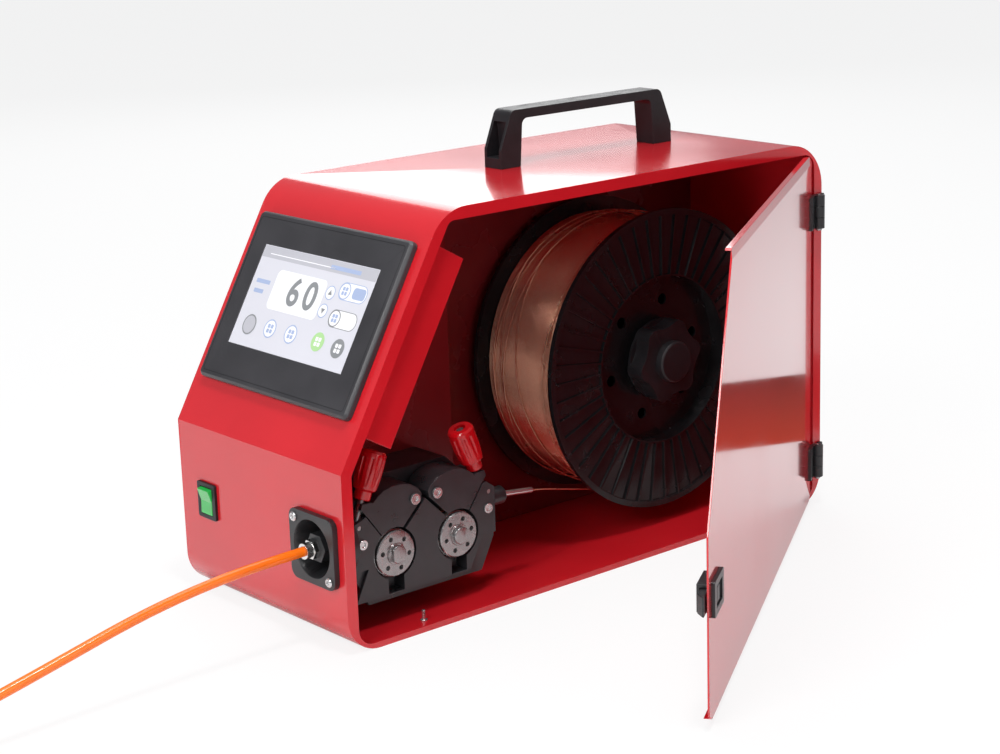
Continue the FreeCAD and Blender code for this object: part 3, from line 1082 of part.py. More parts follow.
def two_arcs(start, start_way, end, end_way):
    """A pair of tangent arcs from one point and direction to another."""
    chord = end - start
    along = chord.dot(start_way + end_way)
    spread = 2 * (1 - start_way.dot(end_way))
    reach = chord.dot(chord) / (along + math.sqrt(along ** 2 + spread * chord.dot(chord)))
    first = start + start_way * reach
    second = end - end_way * reach
    joint = (first + second) * 0.5
    edges = []
    for low, corner, high in ((start, first, joint), (joint, second, end)):
        weight = math.cos((corner - low).getAngle(high - corner) / 2)
        middle = (low + corner * (2 * weight) + high) * (1 / (2 + 2 * weight))
        edges.append(Part.Arc(low, middle, high).toShape())
    return edges


def through(places, ways):
    """Pairs of arcs through a row of points, each passed in its own direction."""
    steps = zip(places, ways, places[1:], ways[1:])
    return [edge for step in steps for edge in two_arcs(*step)]


def bent(points):
    """Straight runs with wide tangent arcs between them, as the edges of a path."""
    edges = []
    here = points[0]
    for before, corner, after in zip(points, points[1:], points[2:]):
        into = (corner - before).normalize()
        out = (after - corner).normalize()
        reach = 0.45 * min((corner - before).Length, (after - corner).Length)
        edges.append(Part.LineSegment(here, corner - into * reach).toShape())
        edges += two_arcs(corner - into * reach, into, corner + out * reach, out)
        here = corner + out * reach
    edges.append(Part.LineSegment(here, points[-1]).toShape())
    return edges


def tube(name, edges, radius):
    """A round tube along the edges of a path, with its length and least bend printed."""
    start = edges[0].valueAt(edges[0].FirstParameter)
    way = edges[0].tangentAt(edges[0].FirstParameter)
    sweep = Part.BRepOffsetAPI.MakePipeShell(Part.Wire(edges))
    sweep.add(Part.Wire(Part.makeCircle(radius, start, way)))
    sweep.build()
    sweep.makeSolid()
    shape = sweep.shape()
    length = sum(edge.Length for edge in edges)
    least = min(edge.Curve.Radius for edge in edges if hasattr(edge.Curve, "Radius"))
    full = shape.Volume / (math.pi * radius ** 2 * length)
    print(f"{name}: {length:.0f} mm long, least bend radius {least:.1f} mm, volume {full:.4f} of section by length")
    return shape


def self_gap(name, place, quarters, radius):
    """Print the least gap between a tube's turns."""
    fine = [place(i / 8) for i in range(8 * quarters + 1)]
    pairs = ((fine[i] - fine[j]).Length for i in range(len(fine)) for j in range(i + 16, len(fine)))
    print(f"{name}: least gap between turns {min(pairs) - 2 * radius:.2f} mm")


def ways_at(place, quarters):
    """The direction of a curve at each quarter turn."""
    return [(place(i + 0.001) - place(i - 0.001)).normalize() for i in range(quarters + 1)]


# Spool: two ribbed flanges and a hollow barrel in one moulding
SPOOL_X = "(spool_front_x - spool_width)"
BARREL = "(spool_recess + spool_wall)"
SLEEVE = "(spool_bore + spool_wall)"
WEB = "(spool_rim - spool_web)"
RIM_IN = "(spool_radius - spool_rim_depth)"
MOUTH = "(spool_recess_depth)"
near = [
    ("0", RIM_IN), ("0", "spool_radius"), ("spool_rim", "spool_radius"), ("spool_rim", BARREL),
]
inner = [
    (MOUTH, "spool_recess"), (WEB, "spool_recess"), (WEB, RIM_IN),
]


def far(points):
    """The same corners on the other flange, in the other order."""
    return [(f"spool_width - {along}", radius) for along, radius in reversed(points)]


SLEEVE_END = "(spool_width - sleeve_back)"
spool_turned = turned("X", (SPOOL_X, SPOOL_Y, "spool_z"), (
    near + far(near) + far(inner)
    + [(f"spool_width - {MOUTH}", SLEEVE), (SLEEVE_END, SLEEVE), (SLEEVE_END, "spool_bore")]
    + [("2", "spool_bore"), ("2", SLEEVE), (MOUTH, SLEEVE)] + inner
))
HOLLOW_LOW = f"({MOUTH} + spool_web)"
hollow = turned("X", (SPOOL_X, SPOOL_Y, "spool_z"), [
    (HOLLOW_LOW, SLEEVE), (HOLLOW_LOW, "spool_recess"), (f"spool_width - {HOLLOW_LOW}", "spool_recess"),
    (f"spool_width - {HOLLOW_LOW}", SLEEVE),
])
MID_WEB = "(spool_bore + spool_recess + spool_wall) / 2"
web_holes = [
    rod("X", (f"{SPOOL_X} - 1", f"{SPOOL_Y} + {MID_WEB} * sin({turn})", f"spool_z + {MID_WEB} * cos({turn})"),
        "5", "spool_width + 2")
    for turn in range(15, 375, 60)
]


def rib_ring(count):
    """Radial ribs between two thin rings, as one ring with a window between each two ribs."""
    low = size.spool_recess + 1.5
    high = size.spool_radius - size.spool_rim_depth - 0.5
    circles = [
        Part.Wire(Part.makeCircle(radius, Vector(), Vector(1, 0, 0)))
        for radius in (high + 1, size.spool_recess)
    ]
    windows = []
    for i in range(count):
        corners = []
        for radius, side in ((low, -1), (high, -1), (high, 1), (low, 1)):
            angle = math.pi / count * (2 * i + 1 + side) - side * size.spool_rib / 2 / radius
            corners.append(Vector(0, radius * math.sin(angle), radius * math.cos(angle)))
        windows.append(Part.makePolygon(corners + corners[:1]))
    ring = Part.makeFace(circles + windows, "Part::FaceMakerBullseye")
    return ring.extrude(Vector(size.spool_rim - size.spool_web - 0.8 + 0.2, 0, 0))


ribs = [
    put(solid(rib_ring(int(size.spool_ribs))), f"{SPOOL_X} + {start}", SPOOL_Y, "spool_z")
    for start in ("0.8", f"spool_width - {WEB} - 0.2")
]
node("spool_body", cut(joined(spool_turned, *ribs), hollow, *web_holes))

# Wound wire: a plain core and one unbroken outer layer in thick turns
STRAND = size.winding_strand / 2
TURNS = int(size.winding_turns)
WOUND = size.winding_radius - STRAND
CORE = size.spool_width - 2 * size.spool_rim - 2 * size.free_gap
PITCH = (CORE - size.winding_strand) / size.winding_turns


def winding_place(quarter):
    """The centre line of the outer layer after some quarter turns."""
    angle = quarter * math.pi / 2
    along = (quarter / 4 - size.winding_turns / 2) * PITCH
    return Vector(along, WOUND * math.sin(angle), -WOUND * math.cos(angle))


self_gap("winding", winding_place, 4 * TURNS, STRAND)
winding_points = [winding_place(i) for i in range(4 * TURNS + 1)]
strand = tube("winding", through(winding_points, ways_at(winding_place, 4 * TURNS)), STRAND)
way_x = Vector(1, 0, 0)
core = Part.makeCylinder(WOUND - STRAND - 0.05, CORE, Vector(-CORE / 2, 0, 0), way_x)
core_hole = Part.makeCylinder(size.spool_recess + size.spool_wall + 0.3, CORE + 2, Vector(-CORE / 2 - 1, 0, 0), way_x)
wound = solid(Part.makeCompound([core.cut(core_hole), strand]))
node("wire_winding", put(wound, f"{SPOOL_X} + spool_width / 2", SPOOL_Y, "spool_z"))

# Hub: a flange on the partition, the drum that carries the spool, and its threaded stub
DRUM = "(spool_bore - free_gap)"
DRUM_END = "(spool_front_x - sleeve_back - partition_rear_x)"
STUB_END = "(star_front_x - 4 - partition_rear_x)"
node("spool_hub", turned("X", ("partition_rear_x", SPOOL_Y, "spool_z"), [
    ("0", "0"), ("0", "hub_flange"), ("hub_flange_thickness - 1", "hub_flange"),
    ("hub_flange_thickness", "hub_flange - 1"), ("hub_flange_thickness", DRUM), (f"{DRUM_END} - 1.5", DRUM),
    (DRUM_END, f"{DRUM} - 1.5"), (DRUM_END, "hub_stub"), (STUB_END, "hub_stub"), (STUB_END, "0"),
]))

# Star knob: a round foot, six lobes and a round cap, turned on the stub against the spool
STAR_X = "(spool_front_x - sleeve_back + free_gap)"
lobes = int(size.star_lobes)
half_lobe = 14 / 60 * 2 * math.pi / lobes


def star_point(radius, angle):
    """A point of the star's outline."""
    return Vector(0, radius * math.sin(angle), radius * math.cos(angle))


side_radius = (size.star_radius + size.star_waist) / 2 - 0.5
star_edges = []
for i in range(lobes):
    turn = 2 * math.pi * i / lobes + math.radians(size.star_phase)
    low, high = star_point(side_radius, turn - half_lobe), star_point(side_radius, turn + half_lobe)
    waist = star_point(size.star_waist, turn + math.pi / lobes)
    following = star_point(side_radius, turn + 2 * math.pi / lobes - half_lobe)
    star_edges.append(Part.Arc(low, star_point(size.star_radius, turn), high).toShape())
    star_edges.append(Part.Arc(high, waist, following).toShape())
star_disc = solid(Part.Face(Part.Wire(star_edges)).extrude(Vector(size.star_thickness, 0, 0)))
STAR_REACH = f"(star_front_x - {STAR_X})"
star_cap = turned("X", (STAR_X, SPOOL_Y, "spool_z"), [
    ("0.5", "0"), ("0.5", "star_radius - 1"), ("3", "star_radius - 1"), ("3", "star_cap_radius"),
    (f"{STAR_REACH} - 1.5", "star_cap_radius"),
    (STAR_REACH, "star_cap_radius - 1.5"), (STAR_REACH, "0"),
])
star_bore = rod("X", (f"{STAR_X} - 1", SPOOL_Y, "spool_z"), "hub_stub + running_gap", f"{STAR_REACH} - 1.5")
star_whole = joined(put(star_disc, STAR_X, SPOOL_Y, "spool_z"), star_cap)
node("star_knob", cut(star_whole, star_bore))

# Welding wire: from under the winding through the inlet tube and the rolls to the socket's nut
front_y = -size.case_length / 2
line_y = front_y + size.feeder_back + size.feeder_half + size.inlet_nut_length
droop = math.radians(size.inlet_droop)
past_tube = size.inlet_tube_length + 6
bend = Vector(size.wire_x, line_y + past_tube * math.cos(droop), size.wire_z - past_tube * math.sin(droop))
axis_y = size.case_length / 2 - size.spool_back - bend.y
axis_z = size.spool_z - bend.z
distance = math.hypot(axis_y, axis_z)
circle = size.winding_radius + size.wire_radius + 1
leave = math.atan2(axis_z, axis_y) - math.asin(circle / distance)
run = math.sqrt(distance ** 2 - circle ** 2)
under = Vector(size.spool_front_x - 24, bend.y + run * math.cos(leave), bend.z + run * math.sin(leave))
wire_path = bent([
    Vector(size.wire_x, front_y - size.conduit_start + 2.5, size.wire_z),
    Vector(size.wire_x, line_y, size.wire_z), bend, under,
])
node("welding_wire", solid(tube("welding wire", wire_path, size.wire_radius)))

# Orange conduit: out of the nut, down in one long sag, and put away in a flat lying coil
layer_quarters = int(4 * size.coil_turns_in_layer)
layers = int(size.coil_layers)
coil_outer = size.coil_inner + size.coil_side_step * size.coil_turns_in_layer
coil_centre = Vector(size.wire_x - 1 - coil_outer, -640, size.conduit_radius + size.running_gap)
coil_quarters = layers * layer_quarters + 2 * (layers - 1) - 2


def coil_place(quarter):
    """The coil's centre line from the top: inwards or outwards in a layer, then half a turn down."""
    layer = min(int(max(quarter, 0) // (layer_quarters + 2)), layers - 1)
    along = quarter - layer * (layer_quarters + 2)
    share = min(along / layer_quarters, 1)
    fall = max(along - layer_quarters, 0) / 2
    inwards = share if layer % 2 == 0 else 1 - share
    radius = coil_outer + (size.coil_inner - coil_outer) * inwards
    height = size.coil_layer_step * (layers - 1 - layer - fall)
    angle = -quarter * math.pi / 2
    return coil_centre + Vector(radius * math.cos(angle), radius * math.sin(angle), height)


self_gap("conduit coil", coil_place, coil_quarters, size.conduit_radius)
coil_points = [coil_place(i) for i in range(coil_quarters + 1)]
coil_ways = ways_at(coil_place, coil_quarters)
entry = coil_points[0] - coil_ways[0] * 8
conduit_path = bent([
    Vector(size.wire_x, front_y - size.conduit_start, size.wire_z), Vector(size.wire_x, -330, 80),
    Vector(size.wire_x, -385, 75.5), Vector(size.wire_x, -440, 66.5), Vector(size.wire_x - 0.5, -495, 53),
    Vector(size.wire_x - 1, -550, 40), coil_points[0] - coil_ways[0] * 38, entry,
])
node("conduit_tube", solid(tube("conduit", conduit_path, size.conduit_radius)))
free_way = Vector(0, -1, 0)
rest = 6.5 - size.conduit_radius
free_start = coil_points[-1] + Vector(2, -60, rest)
free_end = free_start + free_way * 8
coil_path = [Part.LineSegment(entry, coil_points[0]).toShape()]
coil_path += through(coil_points + [free_start], coil_ways + [free_way])
coil_path.append(Part.LineSegment(free_start, free_end).toShape())
node("conduit_coil", solid(tube("conduit coil", coil_path, size.conduit_radius)))
FITTING = "(conduit_fitting_length)"
end_fitting = group(turned("Y", ("0", "0", "0"), [
    ("0", "0"), ("0", "5.6"), (f"{FITTING} - 18", "5.6"), (f"{FITTING} - 18", "6.5"), (f"{FITTING} - 10", "6.5"),
    (f"{FITTING} - 10", "conduit_thread_radius"), (f"{FITTING} - 1", "conduit_thread_radius"),
    (FITTING, "conduit_thread_radius - 1"), (FITTING, "0"),
]))
end_fitting.Placement = Placement(free_end, Rotation(Vector(0, 0, 1), 180))
node("conduit_fitting", end_fitting)

# Behind the closed side: control socket, power supply and motor driver
SOCKET_X = "rear_socket_x"
SOCKET_HALF = "rear_socket_flange / 2"
socket_plate = plate("XZ", [
    (f"{SOCKET_X} - {SOCKET_HALF}", f"rear_socket_z - {SOCKET_HALF}"),
    (f"{SOCKET_X} + {SOCKET_HALF}", f"rear_socket_z - {SOCKET_HALF}"),
    (f"{SOCKET_X} + {SOCKET_HALF}", f"rear_socket_z + {SOCKET_HALF}"),
    (f"{SOCKET_X} - {SOCKET_HALF}", f"rear_socket_z + {SOCKET_HALF}"),
], REAR, "3", {i: "3" for i in range(4)})
socket_barrel = rod("Y", (SOCKET_X, f"{REAR} - 14", "rear_socket_z"), SOCKET_BARREL, "20")
socket_mouth = rod("Y", (SOCKET_X, f"{REAR} + 6 - rear_socket_depth", "rear_socket_z"),
                   "rear_socket_bore", "rear_socket_depth + 1")
node("rear_socket", cut(joined(socket_plate, socket_barrel), socket_mouth))
SUPPLY_X = f"({LEFT} + side_sheet + case_sheet + 4)"
node("power_supply", box(
    (SUPPLY_X, "partition_rear_x - partition_foot - 2"), (f"{REAR} - 176", f"{REAR} - 36"),
    ("case_sheet", "case_sheet + 90"),
))
node("motor_driver", box(
    ("partition_rear_x - partition_sheet - 30", "partition_rear_x - partition_sheet"), ("-40", "60"), ("60", "170"),
))

# Check every object and write every piece
doc.recompute()
for obj in doc.Objects:
    if "Invalid" in obj.State or "Error" in obj.State:
        raise RuntimeError(f"{obj.Label} failed: {obj.State}")
for label, obj in NODES.items():
    if obj.Shape.isNull() or not obj.Shape.isValid() or not obj.Shape.Solids:
        raise RuntimeError(f"{label} has no valid solid")
for label, obj in NODES.items():
    obj.Shape.exportStep(f"parts/{label}.step")
print(f"{len(NODES)} pieces written")
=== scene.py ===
import bmesh
import bpy
import json
import math
from mathutils import Matrix, Vector

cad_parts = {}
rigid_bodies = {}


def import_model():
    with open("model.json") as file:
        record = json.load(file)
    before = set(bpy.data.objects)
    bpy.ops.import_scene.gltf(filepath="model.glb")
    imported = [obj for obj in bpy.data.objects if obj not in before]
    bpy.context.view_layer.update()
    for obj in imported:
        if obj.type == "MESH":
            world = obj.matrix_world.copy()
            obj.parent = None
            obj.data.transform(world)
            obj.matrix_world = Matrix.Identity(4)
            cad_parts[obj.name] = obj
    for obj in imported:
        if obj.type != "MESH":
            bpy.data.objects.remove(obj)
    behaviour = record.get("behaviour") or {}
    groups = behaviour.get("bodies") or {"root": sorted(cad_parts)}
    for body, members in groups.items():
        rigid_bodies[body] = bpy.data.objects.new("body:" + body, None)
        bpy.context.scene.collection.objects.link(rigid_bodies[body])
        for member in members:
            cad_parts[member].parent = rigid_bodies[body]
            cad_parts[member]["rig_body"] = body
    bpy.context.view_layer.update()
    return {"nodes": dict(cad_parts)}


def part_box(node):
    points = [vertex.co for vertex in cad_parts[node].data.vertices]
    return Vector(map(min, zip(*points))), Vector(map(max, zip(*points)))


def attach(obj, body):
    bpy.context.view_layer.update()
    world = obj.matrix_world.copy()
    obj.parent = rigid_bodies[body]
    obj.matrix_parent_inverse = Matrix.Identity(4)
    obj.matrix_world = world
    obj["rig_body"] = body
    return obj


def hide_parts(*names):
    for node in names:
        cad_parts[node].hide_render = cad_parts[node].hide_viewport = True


# A portable wire feeder on a white studio floor. The solids give every place; this script gives each
# piece its finished edges and its material, and makes the conduit, the winding and the lit panel anew.

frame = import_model()
nodes = frame["nodes"]
scene = bpy.context.scene
scene.view_settings.view_transform = "Standard"

# Studio: a camera at the photograph's angle, a white floor that keeps a faint shadow, and soft lamps.
# A dark card behind the case, seen only in reflections, makes the band on the open door.
camera_data = bpy.data.cameras.new("camera")
camera_data.lens = 77.92
camera_data.sensor_width = 36
camera_data.clip_end = 50
camera = bpy.data.objects.new("camera", camera_data)
camera_right = Vector((0.648, 0.761, -0.0312)).normalized()
camera_back = Vector((0.7414, -0.6208, 0.2549)).normalized()
camera_up = camera_back.cross(camera_right).normalized()
camera_right = camera_up.cross(camera_back)
camera.matrix_world = Matrix.Translation((1.3995, -1.1870, 0.6357)) @ Matrix(
    (camera_right, camera_up, camera_back)).transposed().to_4x4()
scene.collection.objects.link(camera)
scene.camera = camera

world = bpy.data.worlds.new("studio")
scene.world = world
world.use_nodes = True
world_nodes = world.node_tree
world_nodes.nodes.clear()
world_out = world_nodes.nodes.new("ShaderNodeOutputWorld")
world_light = world_nodes.nodes.new("ShaderNodeBackground")
world_light.inputs["Color"].default_value = (0.93, 0.95, 1.0, 1)
world_light.inputs["Strength"].default_value = 0.30
world_seen = world_nodes.nodes.new("ShaderNodeBackground")
world_seen.inputs["Color"].default_value = (1, 1, 1, 1)
world_seen.inputs["Strength"].default_value = 1.0
world_rays = world_nodes.nodes.new("ShaderNodeLightPath")
world_mix = world_nodes.nodes.new("ShaderNodeMixShader")
world_nodes.links.new(world_rays.outputs["Is Camera Ray"], world_mix.inputs[0])
world_nodes.links.new(world_light.outputs[0], world_mix.inputs[1])
world_nodes.links.new(world_seen.outputs[0], world_mix.inputs[2])
world_nodes.links.new(world_mix.outputs[0], world_out.inputs[0])

floor_half = 9
floor_mesh = bpy.data.meshes.new("floor")
floor_mesh.from_pydata([
    (-floor_half, -floor_half, 0), (floor_half, -floor_half, 0),
    (floor_half, floor_half, 0), (-floor_half, floor_half, 0),
], [], [(0, 1, 2, 3)])
floor = bpy.data.objects.new("floor", floor_mesh)
scene.collection.objects.link(floor)
floor_paint = bpy.data.materials.new("studio_floor")
floor_paint.use_nodes = True
floor_tree = floor_paint.node_tree
floor_tree.nodes.clear()
floor_out = floor_tree.nodes.new("ShaderNodeOutputMaterial")
floor_matte = floor_tree.nodes.new("ShaderNodeBsdfDiffuse")
floor_matte.inputs["Color"].default_value = (0.86, 0.86, 0.86, 1)
floor_white = floor_tree.nodes.new("ShaderNodeEmission")
floor_white.inputs["Strength"].default_value = 1.0
floor_rays = floor_tree.nodes.new("ShaderNodeLightPath")
floor_share = floor_tree.nodes.new("ShaderNodeMath")
floor_share.operation = "MULTIPLY"
floor_share.inputs[1].default_value = 0.84
floor_mix = floor_tree.nodes.new("ShaderNodeMixShader")
floor_tree.links.new(floor_rays.outputs["Is Camera Ray"], floor_share.inputs[0])
floor_tree.links.new(floor_share.outputs[0], floor_mix.inputs[0])
floor_tree.links.new(floor_matte.outputs[0], floor_mix.inputs[1])
floor_tree.links.new(floor_white.outputs[0], floor_mix.inputs[2])
floor_tree.links.new(floor_mix.outputs[0], floor_out.inputs[0])
floor_mesh.materials.append(floor_paint)

card_mesh = bpy.data.meshes.new("dark_card")
card_near, card_far, card_half, card_lift = 0.44, 0.68, 1.2, 0.002
card_mesh.from_pydata([
    (-card_half, card_near, card_lift), (card_half, card_near, card_lift),
    (card_half, card_far, card_lift), (-card_half, card_far, card_lift),
], [], [(0, 1, 2, 3)])
dark_card = bpy.data.objects.new("dark_card", card_mesh)
scene.collection.objects.link(dark_card)
card_paint = bpy.data.materials.new("dark_card")
card_paint.use_nodes = True
card_tree = card_paint.node_tree
card_shader = card_tree.nodes["Principled BSDF"]
card_shader.inputs["Roughness"].default_value = 0.9
card_place = card_tree.nodes.new("ShaderNodeTexCoord")
card_split = card_tree.nodes.new("ShaderNodeSeparateXYZ")
card_share = card_tree.nodes.new("ShaderNodeMapRange")
card_share.inputs["From Min"].default_value = card_near
card_share.inputs["From Max"].default_value = card_far
card_tone = card_tree.nodes.new("ShaderNodeValToRGB")
card_tone.color_ramp.elements[0].color = (0.36, 0.035, 0.004, 1)
card_tone.color_ramp.elements[1].color = (0.05, 0.014, 0.006, 1)
card_tree.links.new(card_place.outputs["Object"], card_split.inputs[0])
card_tree.links.new(card_split.outputs["Y"], card_share.inputs["Value"])
card_tree.links.new(card_share.outputs["Result"], card_tone.inputs["Fac"])
card_tree.links.new(card_tone.outputs["Color"], card_shader.inputs["Base Color"])
card_mesh.materials.append(card_paint)
dark_card.visible_camera = False
dark_card.visible_diffuse = False
dark_card.visible_shadow = False


def lamp(name, place, target, width, height, power, tint=(1, 1, 1)):
    """A soft panel lamp that faces a point."""
    light = bpy.data.lights.new(name, "AREA")
    light.shape = "RECTANGLE"
    light.size, light.size_y = width, height
    light.energy = power
    light.color = tint
    panel = bpy.data.objects.new(name, light)
    panel.location = place
    panel.rotation_euler = (Vector(target) - Vector(place)).to_track_quat("-Z", "Y").to_euler()
    scene.collection.objects.link(panel)


lamp("key", (0.85, -2.6, 2.0), (0, 0, 0.2), 1.5, 1.2, 56)
lamp("side", (2.6, 0.3, 1.1), (0.1, 0, 0.2), 1.4, 1.4, 9, (1, 0.97, 0.96))
lamp("steep", (0.75, -0.35, 2.6), (0.1, -0.1, 0.1), 0.35, 0.35, 26)
lamp("top", (-0.4, 0.4, 2.4), (0, 0, 0.3), 1.8, 1.8, 22)
lamp("back", (-2.2, 1.6, 1.5), (0, 0, 0.2), 1.4, 1.4, 18)


def finish(name, colour, rough, metal=0.0, grain=900, depth=0.05, mottle=0.05, patch=25, coat=0.0, **more):
    """A material with fine surface grain, slow changes of tone and uneven gloss, on Object coordinates."""
    material = bpy.data.materials.new(name)
    material.use_nodes = True
    tree = material.node_tree
    shader = tree.nodes["Principled BSDF"]
    shader.inputs["Metallic"].default_value = metal
    shader.inputs["Coat Weight"].default_value = coat
    shader.inputs["Coat Roughness"].default_value = 0.06
    for socket, value in more.items():
        shader.inputs[socket.replace("_", " ")].default_value = value
    place = tree.nodes.new("ShaderNodeTexCoord")
    fine = tree.nodes.new("ShaderNodeTexNoise")
    fine.inputs["Scale"].default_value = grain
    fine.inputs["Detail"].default_value = 3
    bump = tree.nodes.new("ShaderNodeBump")
    bump.inputs["Strength"].default_value = depth
    bump.inputs["Distance"].default_value = 0.0006
    broad = tree.nodes.new("ShaderNodeTexNoise")
    broad.inputs["Scale"].default_value = patch
    broad.inputs["Detail"].default_value = 5
    tone = tree.nodes.new("ShaderNodeValToRGB")
    dark = [max(0, part * (1 - 2 * mottle)) for part in colour]
    light = [min(1, part * (1 + 2 * mottle)) for part in colour]
    tone.color_ramp.elements[0].position = 0.3
    tone.color_ramp.elements[0].color = (*dark, 1)
    tone.color_ramp.elements[1].position = 0.7
    tone.color_ramp.elements[1].color = (*light, 1)
    gloss = tree.nodes.new("ShaderNodeMapRange")
    gloss.inputs["From Min"].default_value = 0.3
    gloss.inputs["From Max"].default_value = 0.7
    gloss.inputs["To Min"].default_value = max(0.02, rough - 0.07)
    gloss.inputs["To Max"].default_value = min(1, rough + 0.07)
    for texture in (fine, broad):
        tree.links.new(place.outputs["Object"], texture.inputs["Vector"])
    tree.links.new(fine.outputs["Fac"], bump.inputs["Height"])
    tree.links.new(bump.outputs["Normal"], shader.inputs["Normal"])
    tree.links.new(broad.outputs["Fac"], tone.inputs["Fac"])
    tree.links.new(tone.outputs["Color"], shader.inputs["Base Color"])
    tree.links.new(broad.outputs["Fac"], gloss.inputs["Value"])
    tree.links.new(gloss.outputs["Result"], shader.inputs["Roughness"])
    return material


# Conduit: a glossy orange tube of 8 mm with a steel liner. It leaves the nut, sags to the floor and
# lies put away in a round coil held by a tie, and it ends in a plated M10 fitting.
conduit_radius = 0.004
conduit_nut = Vector((0.078, -0.2825, 0.081))
coil_inner, coil_step, coil_layer = 0.039, 0.0105, 0.0086
coil_turns, coil_layers = 1.75, 4
coil_outer = coil_inner + coil_step * coil_turns
coil_centre = Vector((0.077 - coil_outer, -0.640, 0.00405))
coil_lead, coil_entry, coil_end = 0.038, 0.008, 0.008


def coil_place(quarter):
    """The coil's centre line from the top: inwards or outwards in a layer, then half a turn down."""
    quarters = 4 * coil_turns
    layer = min(int(max(quarter, 0) // (quarters + 2)), coil_layers - 1)
    along = quarter - layer * (quarters + 2)
    share = min(along / quarters, 1)
    fall = max(along - quarters, 0) / 2
    inwards = share if layer % 2 == 0 else 1 - share
    radius = coil_outer + (coil_inner - coil_outer) * inwards
    angle = -quarter * math.pi / 2
    height = coil_layer * (coil_layers - 1 - layer - fall)
    return coil_centre + Vector((radius * math.cos(angle), radius * math.sin(angle), height))


coil_quarters = int(coil_layers * 4 * coil_turns + 2 * (coil_layers - 1)) - 2
coil_way = (coil_place(0.001) - coil_place(-0.001)).normalized()
conduit_route = [
    conduit_nut, Vector((0.078, -0.330, 0.080)), Vector((0.078, -0.385, 0.0755)),
    Vector((0.078, -0.440, 0.0665)), Vector((0.0775, -0.495, 0.053)), Vector((0.077, -0.550, 0.040)),
    coil_place(0) - coil_way * coil_lead, coil_place(0) - coil_way * coil_entry,
]
conduit_route += [coil_place(step / 4) for step in range(4 * coil_quarters + 1)]
coil_exit = coil_place(coil_quarters) + Vector((0.002, -0.060, 0.0025))
conduit_route += [coil_exit, coil_exit - Vector((0, coil_end, 0))]
conduit_curve = bpy.data.curves.new("conduit", "CURVE")
conduit_curve.dimensions = "3D"
conduit_curve.bevel_depth = conduit_radius
conduit_curve.bevel_resolution = 5
conduit_curve.resolution_u = 4
conduit_curve.use_fill_caps = True
conduit_line = conduit_curve.splines.new("NURBS")
conduit_line.points.add(len(conduit_route) - 1)
for point, place in zip(conduit_line.points, conduit_route):
    point.co = (*place, 1)
conduit_line.order_u = 3
conduit_line.use_endpoint_u = True
conduit_cord = bpy.data.objects.new("conduit_cord", conduit_curve)
scene.collection.objects.link(conduit_cord)
orange_tube = finish("orange_tube", (0.93, 0.17, 0.004), 0.2, grain=500, depth=0.02, mottle=0.05, patch=14,
                     coat=0.15, Subsurface_Weight=0.15, Subsurface_Radius=(0.6, 0.2, 0.05),
                     Subsurface_Scale=0.002)
conduit_curve.materials.append(orange_tube)
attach(conduit_cord, "case")
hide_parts("conduit_tube", "conduit_coil")


def tight_outline(points):
    """The outline that goes tight round some points in a plane, anticlockwise."""
    outline = []
    for sweep in (sorted(points), sorted(points, reverse=True)):
        half = []
        for x, y in sweep:
            while len(half) > 1:
                (first_x, first_y), (last_x, last_y) = half[-2:]
                if (last_x - first_x) * (y - first_y) > (last_y - first_y) * (x - first_x):
                    break
                half.pop()
            half.append((x, y))
        outline += half[:-1]
    return outline


# The tie goes round every turn of the coil at the side where the quarter turns 2, 6, 10 and so on pass
tie_quarter, tie_width, tie_sheet, tie_slack = 2, 0.009, 0.0011, 0.0002
tie_floor = 0.0001
tie_turns = [coil_place(quarter) for quarter in range(tie_quarter, coil_quarters, 4)]
tie_line = tight_outline([
    (coil_centre.x - turn.x + (conduit_radius + tie_slack) * math.cos(math.pi * step / 12),
     turn.z + (conduit_radius + tie_slack) * math.sin(math.pi * step / 12))
    for turn in tie_turns for step in range(24)
])
tie_build = bmesh.new()
tie_rings = []
for i, (out, up) in enumerate(tie_line):
    ahead, behind = tie_line[(i + 1) % len(tie_line)], tie_line[i - 1]
    way = Vector((ahead[1] - behind[1], behind[0] - ahead[0])).normalized() * tie_sheet
    tie_rings.append([
        tie_build.verts.new((coil_centre.x - out - way.x * outside, coil_centre.y + side * tie_width / 2,
                             max(up + way.y * outside, tie_floor + tie_sheet / 2 * (1 - outside))))
        for outside, side in ((0, -1), (1, -1), (1, 1), (0, 1))
    ])
for ring, following in zip(tie_rings, tie_rings[1:] + tie_rings[:1]):
    for k in range(4):
        tie_build.faces.new((ring[k], ring[(k + 1) % 4], following[(k + 1) % 4], following[k]))
tie_top = max(up for out, up in tie_line)
tie_head_out = max(out for out, up in tie_line if up > tie_top - tie_sheet)
tie_head = Vector((0.0075, tie_width + 0.002, 0.0045))
bmesh.ops.create_cube(tie_build, size=1, matrix=Matrix.Translation((
    coil_centre.x - tie_head_out + tie_head.x / 2, coil_centre.y, tie_top + tie_head.z / 2,
)) @ Matrix.Diagonal((*tie_head, 1)))
bmesh.ops.recalc_face_normals(tie_build, faces=tie_build.faces)
tie_mesh = bpy.data.meshes.new("coil_tie")
tie_build.to_mesh(tie_mesh)
tie_build.free()
tie_mesh.shade_smooth()
tie_mesh.set_sharp_from_angle(angle=math.radians(35))
coil_tie = bpy.data.objects.new("coil_tie", tie_mesh)
scene.collection.objects.link(coil_tie)
tie_nylon = finish("tie_nylon", (0.016, 0.016, 0.017), 0.4, grain=1500, depth=0.08, mottle=0.1, patch=60)
tie_mesh.materials.append(tie_nylon)
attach(coil_tie, "case")


